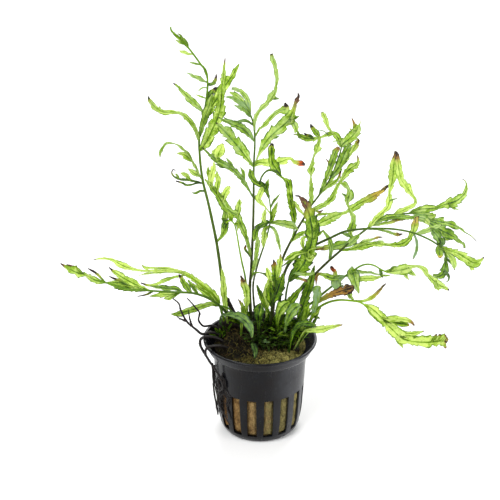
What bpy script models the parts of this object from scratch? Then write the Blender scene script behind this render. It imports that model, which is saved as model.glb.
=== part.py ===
"""A potted African water fern: lobed fronds on a creeping rhizome, in a black slotted nursery pot
that is packed with rock wool. Metres, +Z up, origin at the centre of the pot's flat foot.

The plant's routes are given in millimetres as (across, up, back). Across and up are read in the
upright view from the front, from the centre of the pot's rim, and back is the real distance behind
the pot's axis. place() turns them into points of the model."""

import math

import bmesh
import bpy
import numpy as np
from mathutils import Matrix, Vector

MM = 0.001

# The view that the plant's routes are read in
VIEW_ELEVATION = math.radians(25.0)
VIEW_DISTANCE = 620.0
AIM_ACROSS = -4.4
AIM_UP = 37.5

# Fronds fan out of the crown, more the further they reach from it, in mm
CROWN_ACROSS = 3.0
CROWN_UP = 3.0
CROWN_BACK = 4.0
FAN_START = 25.0
FAN_LENGTH = 130.0

# Pot
POT_HEIGHT = 44.0
RIM_RADIUS = 25.0
LIP_HEIGHT = 1.2
COLLAR_DROP = 5.2
COLLAR_RADIUS = 21.6
WALL_TOP_RADIUS = 20.6
WALL_FOOT_RADIUS = 18.4
FOOT_RADIUS = 16.0
FOOT_ROUNDING = 3.4
WALL = 1.0
FLOOR = 1.4
POT_SIDES = 32

# Slots in the pot
SLOT_COUNT = 16
SLOT_WIDTH = 4.1
SLOT_LOW = 3.4
SLOT_HIGH = 22.5
SLOT_PHASE = math.radians(-11.2)
FOOT_SLOT_COUNT = 6
FOOT_SLOT_WIDTH = 2.4
FOOT_SLOT_INNER = 6.0
FOOT_SLOT_OUTER = 13.0

# Rock wool and rhizome
GAP = 0.3
WOOL_TOP = 40.6
WOOL_SIDES = 24
RHIZOME_ROUTE = [
    (-18.5, 10.0, 43.0), (-14.0, 12.5, 44.2), (-8.0, 12.0, 43.8), (-2.0, 9.5, 42.6),
    (5.0, 7.0, 41.9), (11.0, 4.5, 41.4), (15.5, 2.0, 41.0),
]
RHIZOME_RADII = [1.7, 2.5, 2.6, 2.3, 2.1, 1.9, 1.4]
BRANCH_ROUTE = [(3.0, 7.4, 42.0), (8.0, 1.0, 41.8), (13.0, -4.0, 41.6), (17.0, -7.6, 41.2)]
BRANCH_RADII = [1.9, 1.8, 1.6, 1.2]

# Leaves
STALK_SEGMENT = 8.5
STATION_LENGTH = 6.6
MOST_STATIONS = 7
MIDRIB_THICKNESS = 0.42
TOOTH_DEPTH = 0.34
BASE_SHARE = 0.3
BASE_SINK = 0.06
TILT = math.radians(24.0)
TILT_STEP = 2.4
FACING_ELEVATION = math.radians(45.0)
FLATNESS = 0.0002

# Each frond has its foot's real place on the rhizome, its stalk's route and radius at the foot, then
# its leaflets: a picture route that starts on the stalk, half a width, and how far the tip lies
# behind the base.
FRONDS = {
    "frond_tall_left": {
        "foot": (-13, 12.4, 44),
        "stalk": [
            (-15.4, 16, 13.5), (-17.3, 27, 14.5), (-19, 42, 16), (-21, 52, 18),
            (-23.3, 62, 20), (-25.5, 71, 22), (-26.7, 80, 24), (-26.8, 88, 26), (-26, 96, 28),
            (-24.3, 104, 30), (-23.2, 111, 31), (-25, 117, 31), (-28, 122, 31.5),
            (-31.5, 127.5, 32), (-35.5, 132, 32), (-38.7, 134.8, 31),
        ],
        "radius": 0.95,
        "leaflets": [
            ([(-24.4, 66.5), (-28, 66.8), (-32, 66), (-34, 67.3), (-37, 68)], 0.7, -4),
            ([(-24.8, 67.5), (-30, 68.2), (-35, 69), (-38.3, 71), (-38.2, 73.4)], 0.8, 3),
            ([(-24.8, 67.8), (-28, 73), (-31, 79), (-35, 83.7), (-40, 85), (-43.4, 82.5), (-44, 78.5)],
             2.2, -8),
            ([(-31.6, 80), (-34, 80), (-36.6, 80.3)], 1.2, 0),
            ([(-26.6, 70.5), (-29, 72), (-31.6, 73.8)], 1.3, 0),
            ([(-26.8, 86), (-28, 91.5), (-31, 96), (-35, 98.8), (-40, 98.3), (-45, 99.3), (-48, 102),
              (-48.8, 105)], 2.1, -8),
            ([(-25.8, 97), (-29.5, 102), (-34, 107), (-38, 111)], 2.5, 6),
            ([(-23.2, 111), (-27, 113), (-32, 115.4)], 1.4, 4),
            ([(-23.2, 110), (-21, 110.8), (-19.4, 112.5), (-19.2, 115)], 1.2, 2),
            ([(-28.6, 123), (-32, 124), (-35.3, 125.3)], 1.3, 2),
            ([(-26.2, 92), (-23, 97.5), (-19.5, 103), (-16, 108.5), (-12, 114.5), (-9, 119.6)], 3.3, 7),
            ([(-26.6, 81), (-23.8, 86), (-20.5, 91), (-18.3, 97), (-17, 103), (-16.6, 110),
              (-16, 117), (-15, 122.5)], 2.6, -9),
            ([(-25, 84), (-23.6, 87.5), (-22.7, 91)], 1.7, 0),
            ([(-19, 42), (-17.6, 46), (-16.8, 51), (-17.3, 56)], 1.5, 2),
        ],
    },
    "frond_centre": {
        "foot": (-3.8, 10.2, 43),
        "stalk": [
            (-4.5, 20, 9), (-4.2, 30, 9), (-3.5, 40, 9.5), (-3, 50, 10), (-2.8, 60, 11),
            (-2.8, 68, 12), (-2.7, 76, 13), (-2.3, 84, 14), (-2.4, 90, 15), (-3.2, 95, 16),
            (-5, 100, 17), (-8, 104.5, 18), (-11, 108, 19), (-13.5, 108.5, 19),
        ],
        "radius": 0.85,
        "leaflets": [
            ([(-3.7, 42), (-6.5, 47.5), (-10.5, 52.5), (-15, 56), (-18, 60), (-20.5, 64.5),
              (-24, 69)], 1.8, -5),
            ([(-9.6, 51.6), (-9.4, 56), (-8.8, 60)], 1.6, 2),
            ([(-15.4, 56.5), (-15.3, 61), (-13, 65.5)], 1.7, 0),
            ([(-18.6, 61), (-19, 66), (-18, 71.5)], 1.5, 0),
            ([(-21.6, 66), (-22, 70.5), (-23.3, 75)], 1.2, 1),
            ([(-20.7, 64.6), (-20.5, 71), (-19.7, 76.5)], 1.1, 0),
            ([(-3, 60), (-5.5, 65), (-8.5, 70), (-12.5, 74), (-17, 77), (-21, 80), (-25, 84)], 1.8, -3),
            ([(-5.9, 65.6), (-7.2, 70), (-8.8, 74.3)], 0.9, 0),
            ([(-11.3, 73), (-13, 76.5), (-15, 79)], 0.9, 0),
            ([(-12.2, 73.8), (-16, 74.6), (-20, 76)], 0.9, 0),
            ([(-18.2, 77.8), (-18, 81.5), (-15.8, 84.7)], 2.3, -1),
            ([(-2.8, 74), (-6, 79), (-10, 84), (-14.5, 89.5), (-18.5, 93.7)], 3.5, 3),
            ([(-2.3, 84), (-5, 88.5), (-8.5, 92.2), (-12, 93.8), (-16.5, 96.3)], 1.7, -6),
            ([(-4.2, 97.5), (-7, 98.3), (-9.5, 100), (-11.5, 102)], 1.3, -3),
            ([(-5.6, 101), (-9, 103), (-12, 104.8), (-15, 105)], 1.3, -3),
            ([(-4, 97.5), (-4.4, 102.5), (-6, 106.7), (-9, 110), (-12.3, 111)], 1.4, 4),
            ([(-3, 93.5), (-2, 97), (0.5, 100.5), (4, 103.5), (7, 107.5), (7.8, 113), (7, 118.5),
              (5.2, 123.5)], 1.6, 6),
            ([(-2.3, 88.5), (0, 90.5), (3, 94), (6, 97.3), (9, 99.8), (11, 102.3)], 1.7, -3),
            ([(-2.6, 77), (0, 81.2), (4, 86), (8.5, 90.8), (12.3, 94.8), (14.5, 98.5), (16.3, 102.5),
              (17, 106.5)], 2.4, 5),
            ([(-2.8, 73), (0, 76.2), (3.5, 77), (8, 76.7), (12.5, 78.6), (15, 76.5), (19, 75)], 1.6, 6),
            ([(-4.2, 27), (-2, 33), (-1.2, 40), (-1.3, 45)], 1.2, -2),
        ],
    },
    "frond_bent": {
        "foot": (-6.2, 11.4, 43.4),
        "stalk": [
            (-5.6, 16, 3), (-6.5, 26, 0), (-8, 33, -2), (-9.3, 40, -4), (-10.3, 46, -5),
            (-11.3, 49.5, -6), (-13, 51, -7), (-15, 50, -8),
        ],
        "radius": 0.7,
        "leaflets": [
            ([(-14.3, 50.5), (-15, 48.6), (-15, 46.6)], 1.1, -1),
        ],
    },
    "frond_inner": {
        "foot": (-1, 9.1, 42.4),
        "stalk": [
            (-2.6, 14, 0), (-2.7, 23, -3), (-1.2, 30, -5), (0.2, 35, -7), (1.7, 40, -8.5),
            (3.3, 45, -10), (4.8, 49.5, -11), (4.7, 54, -12), (4.3, 59, -13), (3.4, 63, -14),
        ],
        "radius": 0.65,
        "leaflets": [
            ([(3.9, 61), (2.4, 65), (-0.5, 67.5), (-3, 69.7), (-4.7, 73.3)], 1.9, -1),
            ([(4.5, 53), (1.3, 57.3), (-1.2, 60), (-0.9, 63), (-1.4, 66.3)], 1.3, -4),
            ([(4.6, 54.5), (6, 58.5), (9, 62.6)], 0.5, 2),
            ([(4.8, 50), (6, 54), (7.8, 58.5)], 1.2, -2),
            ([(4.8, 49.6), (9, 50.2), (13, 49), (16.8, 46.3)], 1.5, 3),
            ([(4.5, 49), (1.5, 50.2), (-1.3, 48.3), (-2.4, 44)], 1.3, -3),
            ([(1.7, 40), (1.6, 45), (1.8, 50), (2, 55)], 1.0, 4),
            ([(4, 47.4), (6.7, 46.5), (8, 42), (8.9, 36)], 0.8, -2),
            ([(3.9, 61.6), (2.2, 67), (1.9, 70), (3.4, 72.3), (6, 72.8), (8.6, 70.8)], 0.6, -5),
        ],
    },
    "frond_right_centre": {
        "foot": (4.5, 7.3, 42),
        "stalk": [
            (6.5, 18, 8), (8.6, 30, 8), (10.2, 35, 8), (13, 41, 9), (16.2, 47, 10),
            (19, 51.5, 11), (22, 56, 12), (26, 62, 13), (30, 68, 14), (33.5, 74, 15), (35.5, 79, 16),
            (36, 83, 16.5),
        ],
        "radius": 0.85,
        "leaflets": [
            ([(15.7, 46.5), (15.2, 52), (14.5, 57), (13.3, 62), (12.3, 67), (9.3, 69.7), (6.5, 73.5),
              (5.2, 79), (5.6, 85)], 1.8, -9),
            ([(6.8, 73), (5, 73.6), (3.2, 76.5)], 1.4, 0),
            ([(21.5, 55.5), (22, 62), (22.6, 68), (22.3, 72), (23.2, 77.5), (25, 82), (26, 86.4),
              (24.3, 89), (22.5, 92.3)], 1.4, -4),
            ([(25.5, 61.5), (27.5, 66.5), (29.3, 71), (30.6, 75), (29, 77.5)], 1.6, 3),
            ([(29.5, 67.5), (31, 73), (31.8, 79), (34, 82.3), (38.5, 83.7)], 1.4, -4),
            ([(35.5, 79), (34.6, 84.5), (32.5, 88.6), (28.5, 88.3), (25, 86.3), (20, 86.8), (15, 89)],
             1.4, 6),
            ([(32.6, 88.4), (30.5, 91.5), (29, 94.8), (27.5, 98)], 0.9, 0),
            ([(35.8, 82.5), (38.5, 86), (41.5, 88.8), (43.3, 91.5), (44, 95.5)], 1.8, -1),
            ([(26.8, 63.3), (30.5, 65.8), (33.5, 69), (37, 75), (40.5, 81), (43, 85.5)], 1.1, 5),
            ([(21, 54.5), (26, 56.8), (30, 59.5), (32.6, 63), (35, 67), (38, 71), (41.5, 74.2),
              (42.6, 79)], 1.3, -4),
            ([(19.3, 52), (25, 51.3), (30, 52.4), (36, 53.7), (40, 56.2), (44, 59.2), (50, 61.5),
              (56, 65.7)], 1.5, 9),
            ([(26, 51.3), (31, 50.6), (37, 53)], 1.4, 1),
            ([(13, 41), (16.5, 43.7), (20, 46.5)], 0.9, 0),
        ],
    },
    "frond_broad": {
        "foot": (6.5, 3, 41.9),
        "stalk": [(10.8, 11, -3), (12.4, 20, -6.5), (14, 27, -9.5), (16.5, 31.5, -12)],
        "radius": 0.8,
        "leaflets": [
            ([(14.6, 29), (19, 35), (22, 40.5), (23, 46), (22, 52), (19.5, 57), (16.3, 61.7)], 2.9, -5),
            ([(18.4, 34.2), (21, 37), (24, 38.7), (28, 39.3)], 1.3, -2),
            ([(17, 32.3), (20.5, 32), (23.6, 35.6)], 1.5, -3),
            ([(14.4, 28), (18, 29), (23, 29.3)], 1.2, -2),
        ],
    },
    "frond_right_long": {
        "foot": (10.6, 4.7, 41.4),
        "stalk": [
            (14.6, 15.5, 5.5), (20, 22.5, 6.5), (25, 28, 7), (30, 33, 8), (35, 37.5, 9),
            (40, 42, 10), (46, 47, 11), (51, 50.5, 12), (56, 53, 13), (62, 54, 14), (67, 54.3, 14.5),
        ],
        "radius": 0.9,
        "leaflets": [
            ([(30.3, 33.3), (31.2, 38), (29.8, 42.5), (26.5, 46.8)], 1.3, 3),
            ([(38.4, 40.6), (33, 40.2), (28, 39.4), (23.8, 37.9)], 1.3, 3),
            ([(35.3, 37.7), (42, 39), (48, 40), (55, 39.8), (60, 40), (65, 42.3), (67.5, 46),
              (69, 51)], 1.4, -5),
            ([(41, 38.9), (45, 41.3), (49.5, 43)], 0.9, 0),
            ([(41.2, 43.2), (42.3, 48), (40.5, 53), (39, 58), (40.3, 62), (38.8, 65.7),
              (35.5, 67.6)], 1.6, -9),
            ([(47, 47.8), (50, 52), (53.5, 55)], 0.9, 2),
            ([(51.5, 50.7), (54.5, 55.5), (56.3, 60), (57, 65), (57.3, 70), (58.6, 76), (59.6, 81)],
             1.9, 3),
            ([(60, 53.8), (64.5, 56.5), (68.3, 59), (66.5, 63.5), (63, 68), (61.4, 74),
              (60.4, 80)], 1.7, -4),
            ([(64, 54.2), (70, 56), (75, 56.6), (80, 57), (84, 58.7), (88, 61), (90.3, 65),
              (88.7, 68.7)], 1.9, 6),
            ([(66, 54.3), (71, 53), (76, 52), (80, 50.5), (84.5, 48.5), (89, 45.7), (95, 41.5)],
             2.6, -2),
            ([(72, 52.8), (77, 49), (81, 46), (85, 43.7), (89, 41), (89.7, 38.7)], 1.5, -6),
        ],
    },
    "frond_right_front": {
        "foot": (8, 5.7, 41.7),
        "stalk": [
            (9, 20, 0), (12, 31, -2), (18, 36.7, -4), (24.5, 40.3, -6), (30, 43.3, -8),
            (38, 46.2, -11), (46, 47.2, -14), (53, 47.4, -16), (60, 46.7, -18), (66, 45.8, -20),
            (71, 44, -21), (76, 41.7, -22), (79.5, 39.5, -23),
        ],
        "radius": 0.75,
        "leaflets": [
            ([(69, 45), (74, 46.8), (78.5, 47.8)], 0.9, 1),
            ([(55, 47.3), (58, 45.5), (62, 44.8)], 0.6, 0),
            ([(66.5, 45.7), (68.6, 41.5), (68.7, 38), (67, 34)], 0.5, -2),
            ([(79.4, 39.5), (79.3, 43.5), (77, 47), (74, 49.8)], 1.4, -3),
            ([(78.5, 40), (84, 37.9), (88.5, 35.7), (92.5, 32.7), (95.5, 32), (98, 34.5)], 1.4, -3),
            ([(91.6, 33.2), (93, 31), (94.5, 29.6)], 1.1, 0),
            ([(79, 39.8), (83, 36), (85, 33), (85.4, 29)], 1.1, -5),
            ([(79.3, 39.6), (81, 35), (81.8, 31), (81.2, 27.5), (82.8, 24.6)], 1.5, -9),
        ],
    },
    "frond_right_arching": {
        "foot": (14.6, 2.6, 41.1),
        "stalk": [
            (19, 11, -3), (23.5, 15.2, -4), (27.5, 18.5, -5), (32.3, 22.6, -6),
            (38, 27.2, -8), (42.5, 29.7, -9), (47, 31.2, -10), (51.5, 30.2, -11), (55.5, 28.3, -12),
        ],
        "radius": 0.8,
        "leaflets": [
            ([(53.5, 29.3), (60, 29.6), (65, 30.7), (69.5, 30.6), (73.3, 28), (75.3, 24.5),
              (79, 21.5), (82.2, 19.5)], 1.8, 8),
            ([(56.5, 29.2), (62, 27.9), (65.5, 28), (68, 26.7)], 1.5, 4),
            ([(42.5, 29.7), (40.2, 29.2), (41, 26), (42, 22.5), (43.2, 19)], 1.9, -5),
            ([(38.5, 27.5), (43, 27.9), (48, 27.2), (53, 26.2)], 0.9, 4),
            ([(36.4, 26), (42, 25.4), (48, 25), (55, 26)], 0.9, -4),
            ([(35.5, 25.2), (34, 23.4), (35, 20)], 1.7, -3),
            ([(34.8, 24.7), (31, 26), (27.3, 27.2)], 1.0, -2),
        ],
    },
    "frond_right_low": {
        "foot": (11.8, -2.8, 41.6),
        "stalk": [
            (20, 8, -8), (25, 12.7, -10), (30, 15, -12), (35, 16, -14),
            (40, 15.6, -16), (43.5, 15.2, -18), (47, 13.2, -20),
        ],
        "radius": 0.75,
        "leaflets": [
            ([(45, 14.4), (50, 10.3), (54, 6), (58, 2), (62, -1), (67, -2.8), (73, -3.5), (78, -3),
              (82, -2.4)], 2.3, -12),
            ([(41, 15.5), (47, 16), (51, 18.5), (54, 21.8), (56, 23)], 0.8, 2),
            ([(52, 8.2), (56, 8.2), (61, 8.2), (65, 7), (67.7, 4.7)], 1.0, 1),
            ([(55, 5), (58, 5.8), (61, 5.2), (64.5, 4.6)], 1.0, 1),
            ([(59, 1.2), (62.5, 1.1), (66, 0.9), (71, 2.2)], 0.8, 1),
            ([(58, 2), (59.5, -0.4), (61, -2.7), (62.7, -5.2)], 0.9, -1),
            ([(47, 12.9), (47.6, 10.5), (50, 8), (53, 5.6)], 0.9, -2),
        ],
    },
    "frond_left_low": {
        "foot": (-10.4, 12.3, 44),
        "stalk": [
            (-16, 12, 5), (-20.5, 15.5, 2), (-25, 18, 0), (-30, 19.2, -3),
            (-36, 19.2, -6), (-44, 19.6, -9), (-52, 20, -12), (-58, 20.6, -14), (-64, 22.3, -16),
            (-68.5, 23.7, -17.5), (-73, 25.3, -19),
        ],
        "radius": 0.8,
        "leaflets": [
            ([(-30, 19.2), (-32.5, 22.5), (-35, 26.4)], 1.5, -2),
            ([(-34.5, 19.2), (-40, 20.8), (-44, 21.8), (-47.5, 22.2)], 1.4, 2),
            ([(-36, 19.2), (-41, 18), (-47.8, 17.5)], 1.0, -2),
            ([(-46.5, 19.7), (-50, 18.2), (-54, 17.5)], 0.5, 0),
            ([(-49, 19.9), (-54, 22.3), (-59, 25.7), (-63.5, 28), (-66, 29.6)], 2.1, 3),
            ([(-52, 20), (-57.5, 19.9), (-62.5, 21), (-66.5, 23)], 1.5, -3),
            ([(-68, 23.6), (-71, 26.3), (-75.3, 29.3)], 0.6, 2),
            ([(-68.4, 23.7), (-71.5, 23.2), (-75, 25)], 1.2, -2),
            ([(-71, 24.6), (-75, 26), (-79.5, 27.2), (-83.5, 29), (-87, 32)], 2.0, -4),
            ([(-75, 26), (-79.5, 29.3), (-84.5, 31.4)], 1.0, 1),
        ],
    },
    "frond_left_pale": {
        "foot": (-15.4, 11.8, 43.8),
        "stalk": [
            (-18, 13.5, 11.5), (-21.5, 18, 11), (-25, 22, 11), (-29, 25.5, 11.5),
            (-33, 27.6, 12), (-38, 28.8, 13),
        ],
        "radius": 0.75,
        "leaflets": [
            ([(-36, 28.4), (-42, 29.9), (-47.5, 30.1), (-51.7, 31)], 1.1, 2),
            ([(-33, 27.6), (-41, 28.1), (-48, 28.5), (-55, 28.7), (-60, 29.7), (-65, 32.5),
              (-69, 33.8), (-73, 33.2)], 1.2, -3),
            ([(-37, 28.6), (-44, 27.6), (-48, 27.2), (-53, 26.6)], 0.8, 0),
            ([(-18.5, 14.2), (-22.5, 20.5), (-26, 24.7), (-31, 28), (-36, 29.6)], 1.5, 3),
            ([(-17.5, 13), (-19, 17), (-21.5, 21)], 1.2, 3),
            ([(-24, 21), (-29, 24.6), (-34, 25.6), (-40, 25.3), (-45, 23.2), (-49, 22.1),
              (-52.5, 23.2)], 0.8, -2),
        ],
    },
    "frond_left_strap": {
        "foot": (-8.2, 12, 43.8),
        "stalk": [(-13, 11.8, 8), (-16.5, 13.3, 7), (-20, 13.9, 5)],
        "radius": 0.7,
        "leaflets": [([(-18, 13.6), (-23, 13.8), (-28, 12.2), (-33.5, 10), (-38.3, 9.6)], 1.4, -6)],
    },
    "frond_young_brown": {
        "foot": (4.8, 5.1, 42),
        "stalk": [(4.7, 12, -5), (6.4, 20, -8), (7.6, 26, -10)],
        "radius": 0.7,
        "leaflets": [
            ([(6.7, 22), (6.6, 28), (6, 33.5)], 1.0, 0),
            ([(7.4, 25), (8, 30.5), (9.4, 35.5)], 1.4, -3),
            ([(6.2, 19.4), (4, 24), (2, 27), (-0.2, 28.3)], 0.9, -5),
            ([(5.8, 17.5), (8.5, 20), (10.2, 23.8)], 2.0, -4),
            ([(5, 13.5), (4.3, 19), (4.7, 24.5)], 1.8, -5),
        ],
    },
}

# Each small leaf is one blade on a short stalk: its foot's real place, its route, half its width.
SMALL_LEAVES = {
    "leaf_left_upright": (
        (-14.2, 11.0, 43.6), [(-14.9, 10, 9), (-15.2, 16, 9), (-16, 22, 9.5), (-16.6, 28.7, 9.5)], 1.3),
    "leaf_brown_tip": (
        (-8.4, 11.2, 43.4), [(-6.9, 10, 2), (-6.8, 15, -0.5), (-7.4, 20, -2.5), (-9.3, 26, -4)], 1.2),
    "leaf_small_pointed": ((-8.5, 3.0, 40.0), [(-8.2, 5, 1), (-8.4, 10, 0), (-9.5, 15.7, -1)], 1.5),
    "leaf_over_front": (
        (-17.4, 10.8, 43.2),
        [(-17.1, 8.3, 6.5), (-15, 9.6, 2.8), (-12, 9.8, -1), (-8.5, 8.5, -5), (-5.5, 4.5, -9.5),
         (-4.2, -0.5, -12)], 1.8),
    "leaf_rounded": ((-0.5, 2.0, 40.0), [(-0.8, 6, -1), (-1.3, 10, -3), (-0.5, 14.3, -4)], 2.0),
    "leaf_yellow_broad": ((8.3, 0.7, 41.8), [(7.8, 7, -6), (8.5, 12.5, -8), (11.5, 15.5, -9)], 2.1),
    "leaf_pale_broad": ((10.0, -1.0, 41.7), [(12.2, 6.5, -10), (15, 12, -13), (19.3, 12.8, -14)], 2.3),
    "leaf_bright_inner": ((1.7, 8.3, 42.2), [(3, 11, 5), (2.8, 18, 4), (3.3, 24, 4)], 1.7),
    "leaf_dark_upright": (
        (12.8, 4.0, 41.2), [(17.5, 9, 3.4), (20.6, 17, 3.2), (22.6, 24, 3), (24, 31, 3)], 1.9),
    "leaf_grey_right": ((15.8, -6.4, 41.4), [(22.8, 9, -13), (24.8, 14.5, -15), (25.5, 21, -16)], 1.5),
    "leaf_brown_right": (
        (13.8, -4.7, 41.5),
        [(22, 12, -12), (27.5, 16.4, -14), (33, 19, -15), (37, 20.3, -16), (40, 22, -17)], 1.4),
    "leaf_dark_right": (
        (12.0, -6.8, 39.8), [(14.4, 2, -11), (17.5, 5.8, -14), (21, 6, -16), (24.5, 4.6, -18)], 2.1),
    "leaf_yellow_right": (
        (14.4, -9.6, 39.8), [(17, -1, -13.5), (22, 2.2, -17), (28, 3.2, -21), (36.3, 5, -25)], 1.2),
}

# Young shoots and the stump of an old stalk stand on the rhizome: half width or radius, real route.
SHOOTS = [
    (0.6, [(0.4, 8.0, 43.0), (0.6, 5.8, 46.3), (0.2, 4.6, 49.6)]),
    (0.6, [(6.2, 6.4, 42.4), (6.3, 4.3, 46.0), (6.8, 2.8, 49.5)]),
    (0.6, [(9.4, 3.6, 41.4), (9.8, 1.8, 43.8), (11.0, 0.6, 46.4)]),
]
STUMP_ROUTE = [(-9.5, 13.0, 45.0), (-11.8, 14.5, 48.5), (-13.8, 16.0, 52.5), (-14.4, 16.5, 55.0)]
STUMP_RADII = [1.5, 1.1, 0.9, 0.8]

# Roots: radius and route, in real millimetres from the foot's centre.
ROOTS = {
    "root_upright": (0.36, [
        (-16.0, 7.5, 40.5), (-18.5, 7.0, 44.5), (-21.5, 6.3, 46.2), (-25.0, 5.0, 46.8),
        (-27.0, 4.0, 50.0), (-26.6, 3.0, 54.5), (-28.5, 2.0, 58.0), (-31.6, 1.0, 62.5),
    ]),
    "root_forked": (0.4, [
        (-15.5, 3.0, 39.8), (-18.0, 2.6, 43.6), (-21.5, 1.5, 45.4), (-25.4, 0.0, 45.6),
        (-29.0, -1.5, 49.5), (-32.3, -3.0, 54.0), (-34.2, -4.0, 59.0), (-35.0, -5.0, 63.0),
        (-37.4, -6.0, 66.0),
    ]),
    "root_down_wall": (0.42, [
        (-13.5, -1.0, 39.2), (-16.5, -1.5, 42.8), (-20.5, -2.4, 45.2), (-25.2, -3.2, 45.3),
        (-26.2, -4.0, 42.5), (-23.6, -5.2, 37.5), (-21.0, -6.0, 33.0), (-20.6, -6.4, 27.0),
        (-20.3, -6.2, 21.0), (-19.6, -6.6, 15.0), (-18.6, -7.6, 9.0),
    ]),
    "root_looping": (0.36, [
        (-12.0, -6.0, 39.2), (-15.0, -7.3, 42.8), (-18.8, -9.7, 44.9), (-22.9, -11.7, 45.2),
        (-23.5, -12.3, 42.0), (-20.6, -11.3, 36.0), (-17.5, -12.5, 31.0), (-16.0, -14.0, 26.5),
        (-18.2, -11.4, 22.5), (-18.4, -10.6, 18.0), (-16.0, -13.0, 13.0), (-13.2, -15.0, 8.0),
    ]),
}
ROOT_FORKS = {
    "root_forked": [
        (0.3, [(-29.6, -1.8, 50.2), (-30.6, -2.2, 54.5), (-31.2, -2.6, 59.0)]),
        (0.3, [(-32.0, -2.8, 53.4), (-34.4, -3.6, 54.6), (-36.2, -4.2, 56.6)]),
    ],
}

COLOURS = {
    "pot": ((0.012, 0.014, 0.016, 1), 0.28),
    "wool": ((0.26, 0.2, 0.06, 1), 0.95),
    "rhizome": ((0.02, 0.017, 0.012, 1), 0.8),
    "frond": ((0.2, 0.42, 0.04, 1), 0.45),
    "root": ((0.008, 0.007, 0.006, 1), 0.4),
}

forward = np.array([0.0, math.cos(VIEW_ELEVATION), -math.sin(VIEW_ELEVATION)])
upward = np.array([0.0, math.sin(VIEW_ELEVATION), math.cos(VIEW_ELEVATION)])
sideways = np.array([1.0, 0.0, 0.0])
facing = np.array([0.0, -math.cos(FACING_ELEVATION), math.sin(FACING_ELEVATION)])
rim_centre = np.array([0.0, 0.0, POT_HEIGHT])
eye = rim_centre + sideways * AIM_ACROSS + upward * AIM_UP - forward * VIEW_DISTANCE


def place(across, up, back):
    """The model's point, in mm, that is seen at (across, up) and lies back behind the pot's axis."""
    ray = forward * VIEW_DISTANCE + sideways * (across - AIM_ACROSS) + upward * (up - AIM_UP)
    return eye + ray * (back - eye[1]) / ray[1]


def seen(point):
    """Where a point of the model, in mm, is seen: (across, up, back)."""
    sight = np.array(point) - eye
    sight = sight * VIEW_DISTANCE / (sight @ forward)
    return sight @ sideways + AIM_ACROSS, sight @ upward + AIM_UP, point[1]


def fanned(route):
    """The model's points of a picture route, each moved along its line of sight away from the crown's
    own plane in proportion to how far it reaches."""
    points = []
    for across, up, back in route:
        reach = math.hypot(across - CROWN_ACROSS, up - CROWN_UP)
        spread = 1 + max(reach - FAN_START, 0) / FAN_LENGTH
        points.append(place(across, up, CROWN_BACK + (back - CROWN_BACK) * spread))
    return np.array(points)


def smooth_route(points, spacing, most=60):
    """Even points on a smooth curve (Catmull-Rom) through the given ones, about spacing apart."""
    points = np.array(points, float)
    ends = np.vstack([2 * points[0] - points[1], points, 2 * points[-1] - points[-2]])
    share = np.linspace(0, 1, 24, endpoint=False)[:, None]
    dense = []
    for before, start, end, after in zip(ends, ends[1:], ends[2:], ends[3:]):
        dense.append(0.5 * (2 * start + (end - before) * share
                            + (2 * before - 5 * start + 4 * end - after) * share**2
                            + (3 * start - before - 3 * end + after) * share**3))
    dense = np.vstack(dense + [points[-1:]])
    travelled = np.r_[0, np.cumsum(np.linalg.norm(np.diff(dense, axis=0), axis=1))]
    count = int(np.clip(round(travelled[-1] / spacing), 2, most))
    wanted = np.linspace(0, travelled[-1], count + 1)
    return np.stack([np.interp(wanted, travelled, dense[:, k]) for k in range(3)], axis=1)


def unit(rows):
    return rows / np.linalg.norm(rows, axis=-1, keepdims=True)


def material(name):
    if name in bpy.data.materials:
        return bpy.data.materials[name]
    made = bpy.data.materials.new(name)
    made.use_nodes = True
    shader = made.node_tree.nodes["Principled BSDF"]
    colour, roughness = COLOURS[name]
    shader.inputs["Base Color"].default_value = colour
    shader.inputs["Roughness"].default_value = roughness
    shader.inputs["Metallic"].default_value = 0.0
    return made


def new_object(name, data, collection, finish=None):
    obj = bpy.data.objects.new(name, data)
    collection.objects.link(obj)
    if finish:
        data.materials.append(material(finish))
    return obj


def helper(obj):
    obj.hide_render = True
    obj.display_type = "WIRE"
    return obj


def face_outwards(shape):
    bmesh.ops.recalc_face_normals(shape, faces=shape.faces)
    if shape.calc_volume(signed=True) < 0:
        bmesh.ops.reverse_faces(shape, faces=shape.faces)


def solid_mesh(obj):
    """Replaces a curve or a modified object by its evaluated mesh, with its loose caps welded."""
    bpy.context.view_layer.update()
    graph = bpy.context.evaluated_depsgraph_get()
    mesh = bpy.data.meshes.new_from_object(obj.evaluated_get(graph))
    shape = bmesh.new()
    shape.from_mesh(mesh)
    bmesh.ops.remove_doubles(shape, verts=shape.verts, dist=1e-6)
    face_outwards(shape)
    shape.to_mesh(mesh)
    shape.free()
    name, collection, matrix = obj.name, obj.users_collection[0], obj.matrix_world.copy()
    bpy.data.objects.remove(obj)
    made = bpy.data.objects.new(name, mesh)
    made.matrix_world = matrix
    collection.objects.link(made)
    return made


def flat_faced(obj):
    """Splits the faces of a solid that aren't flat into triangles, so that each has only one surface."""
    shape = bmesh.new()
    shape.from_mesh(obj.data)
    bent = []
    for face in shape.faces:
        centre = face.calc_center_median()
        if max(abs((vertex.co - centre).dot(face.normal)) for vertex in face.verts) > FLATNESS * MM:
            bent.append(face)
    bmesh.ops.triangulate(shape, faces=bent)
    shape.to_mesh(obj.data)
    shape.free()
    return obj


def tube(name, points, radii, collection, finish, resolution=0):
    """A tapered round tube, in mm: a poly curve with a bevel and filled caps."""
    data = bpy.data.curves.new(name, "CURVE")
    data.dimensions = "3D"
    data.bevel_depth = MM
    data.bevel_resolution = resolution
    data.use_fill_caps = True
    line = data.splines.new("POLY")
    line.points.add(len(points) - 1)
    for point, place_mm, radius in zip(line.points, points, radii):
        point.co = (*(np.array(place_mm) * MM), 1)
        point.radius = radius
    return solid_mesh(new_object(name, data, collection, finish))


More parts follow.
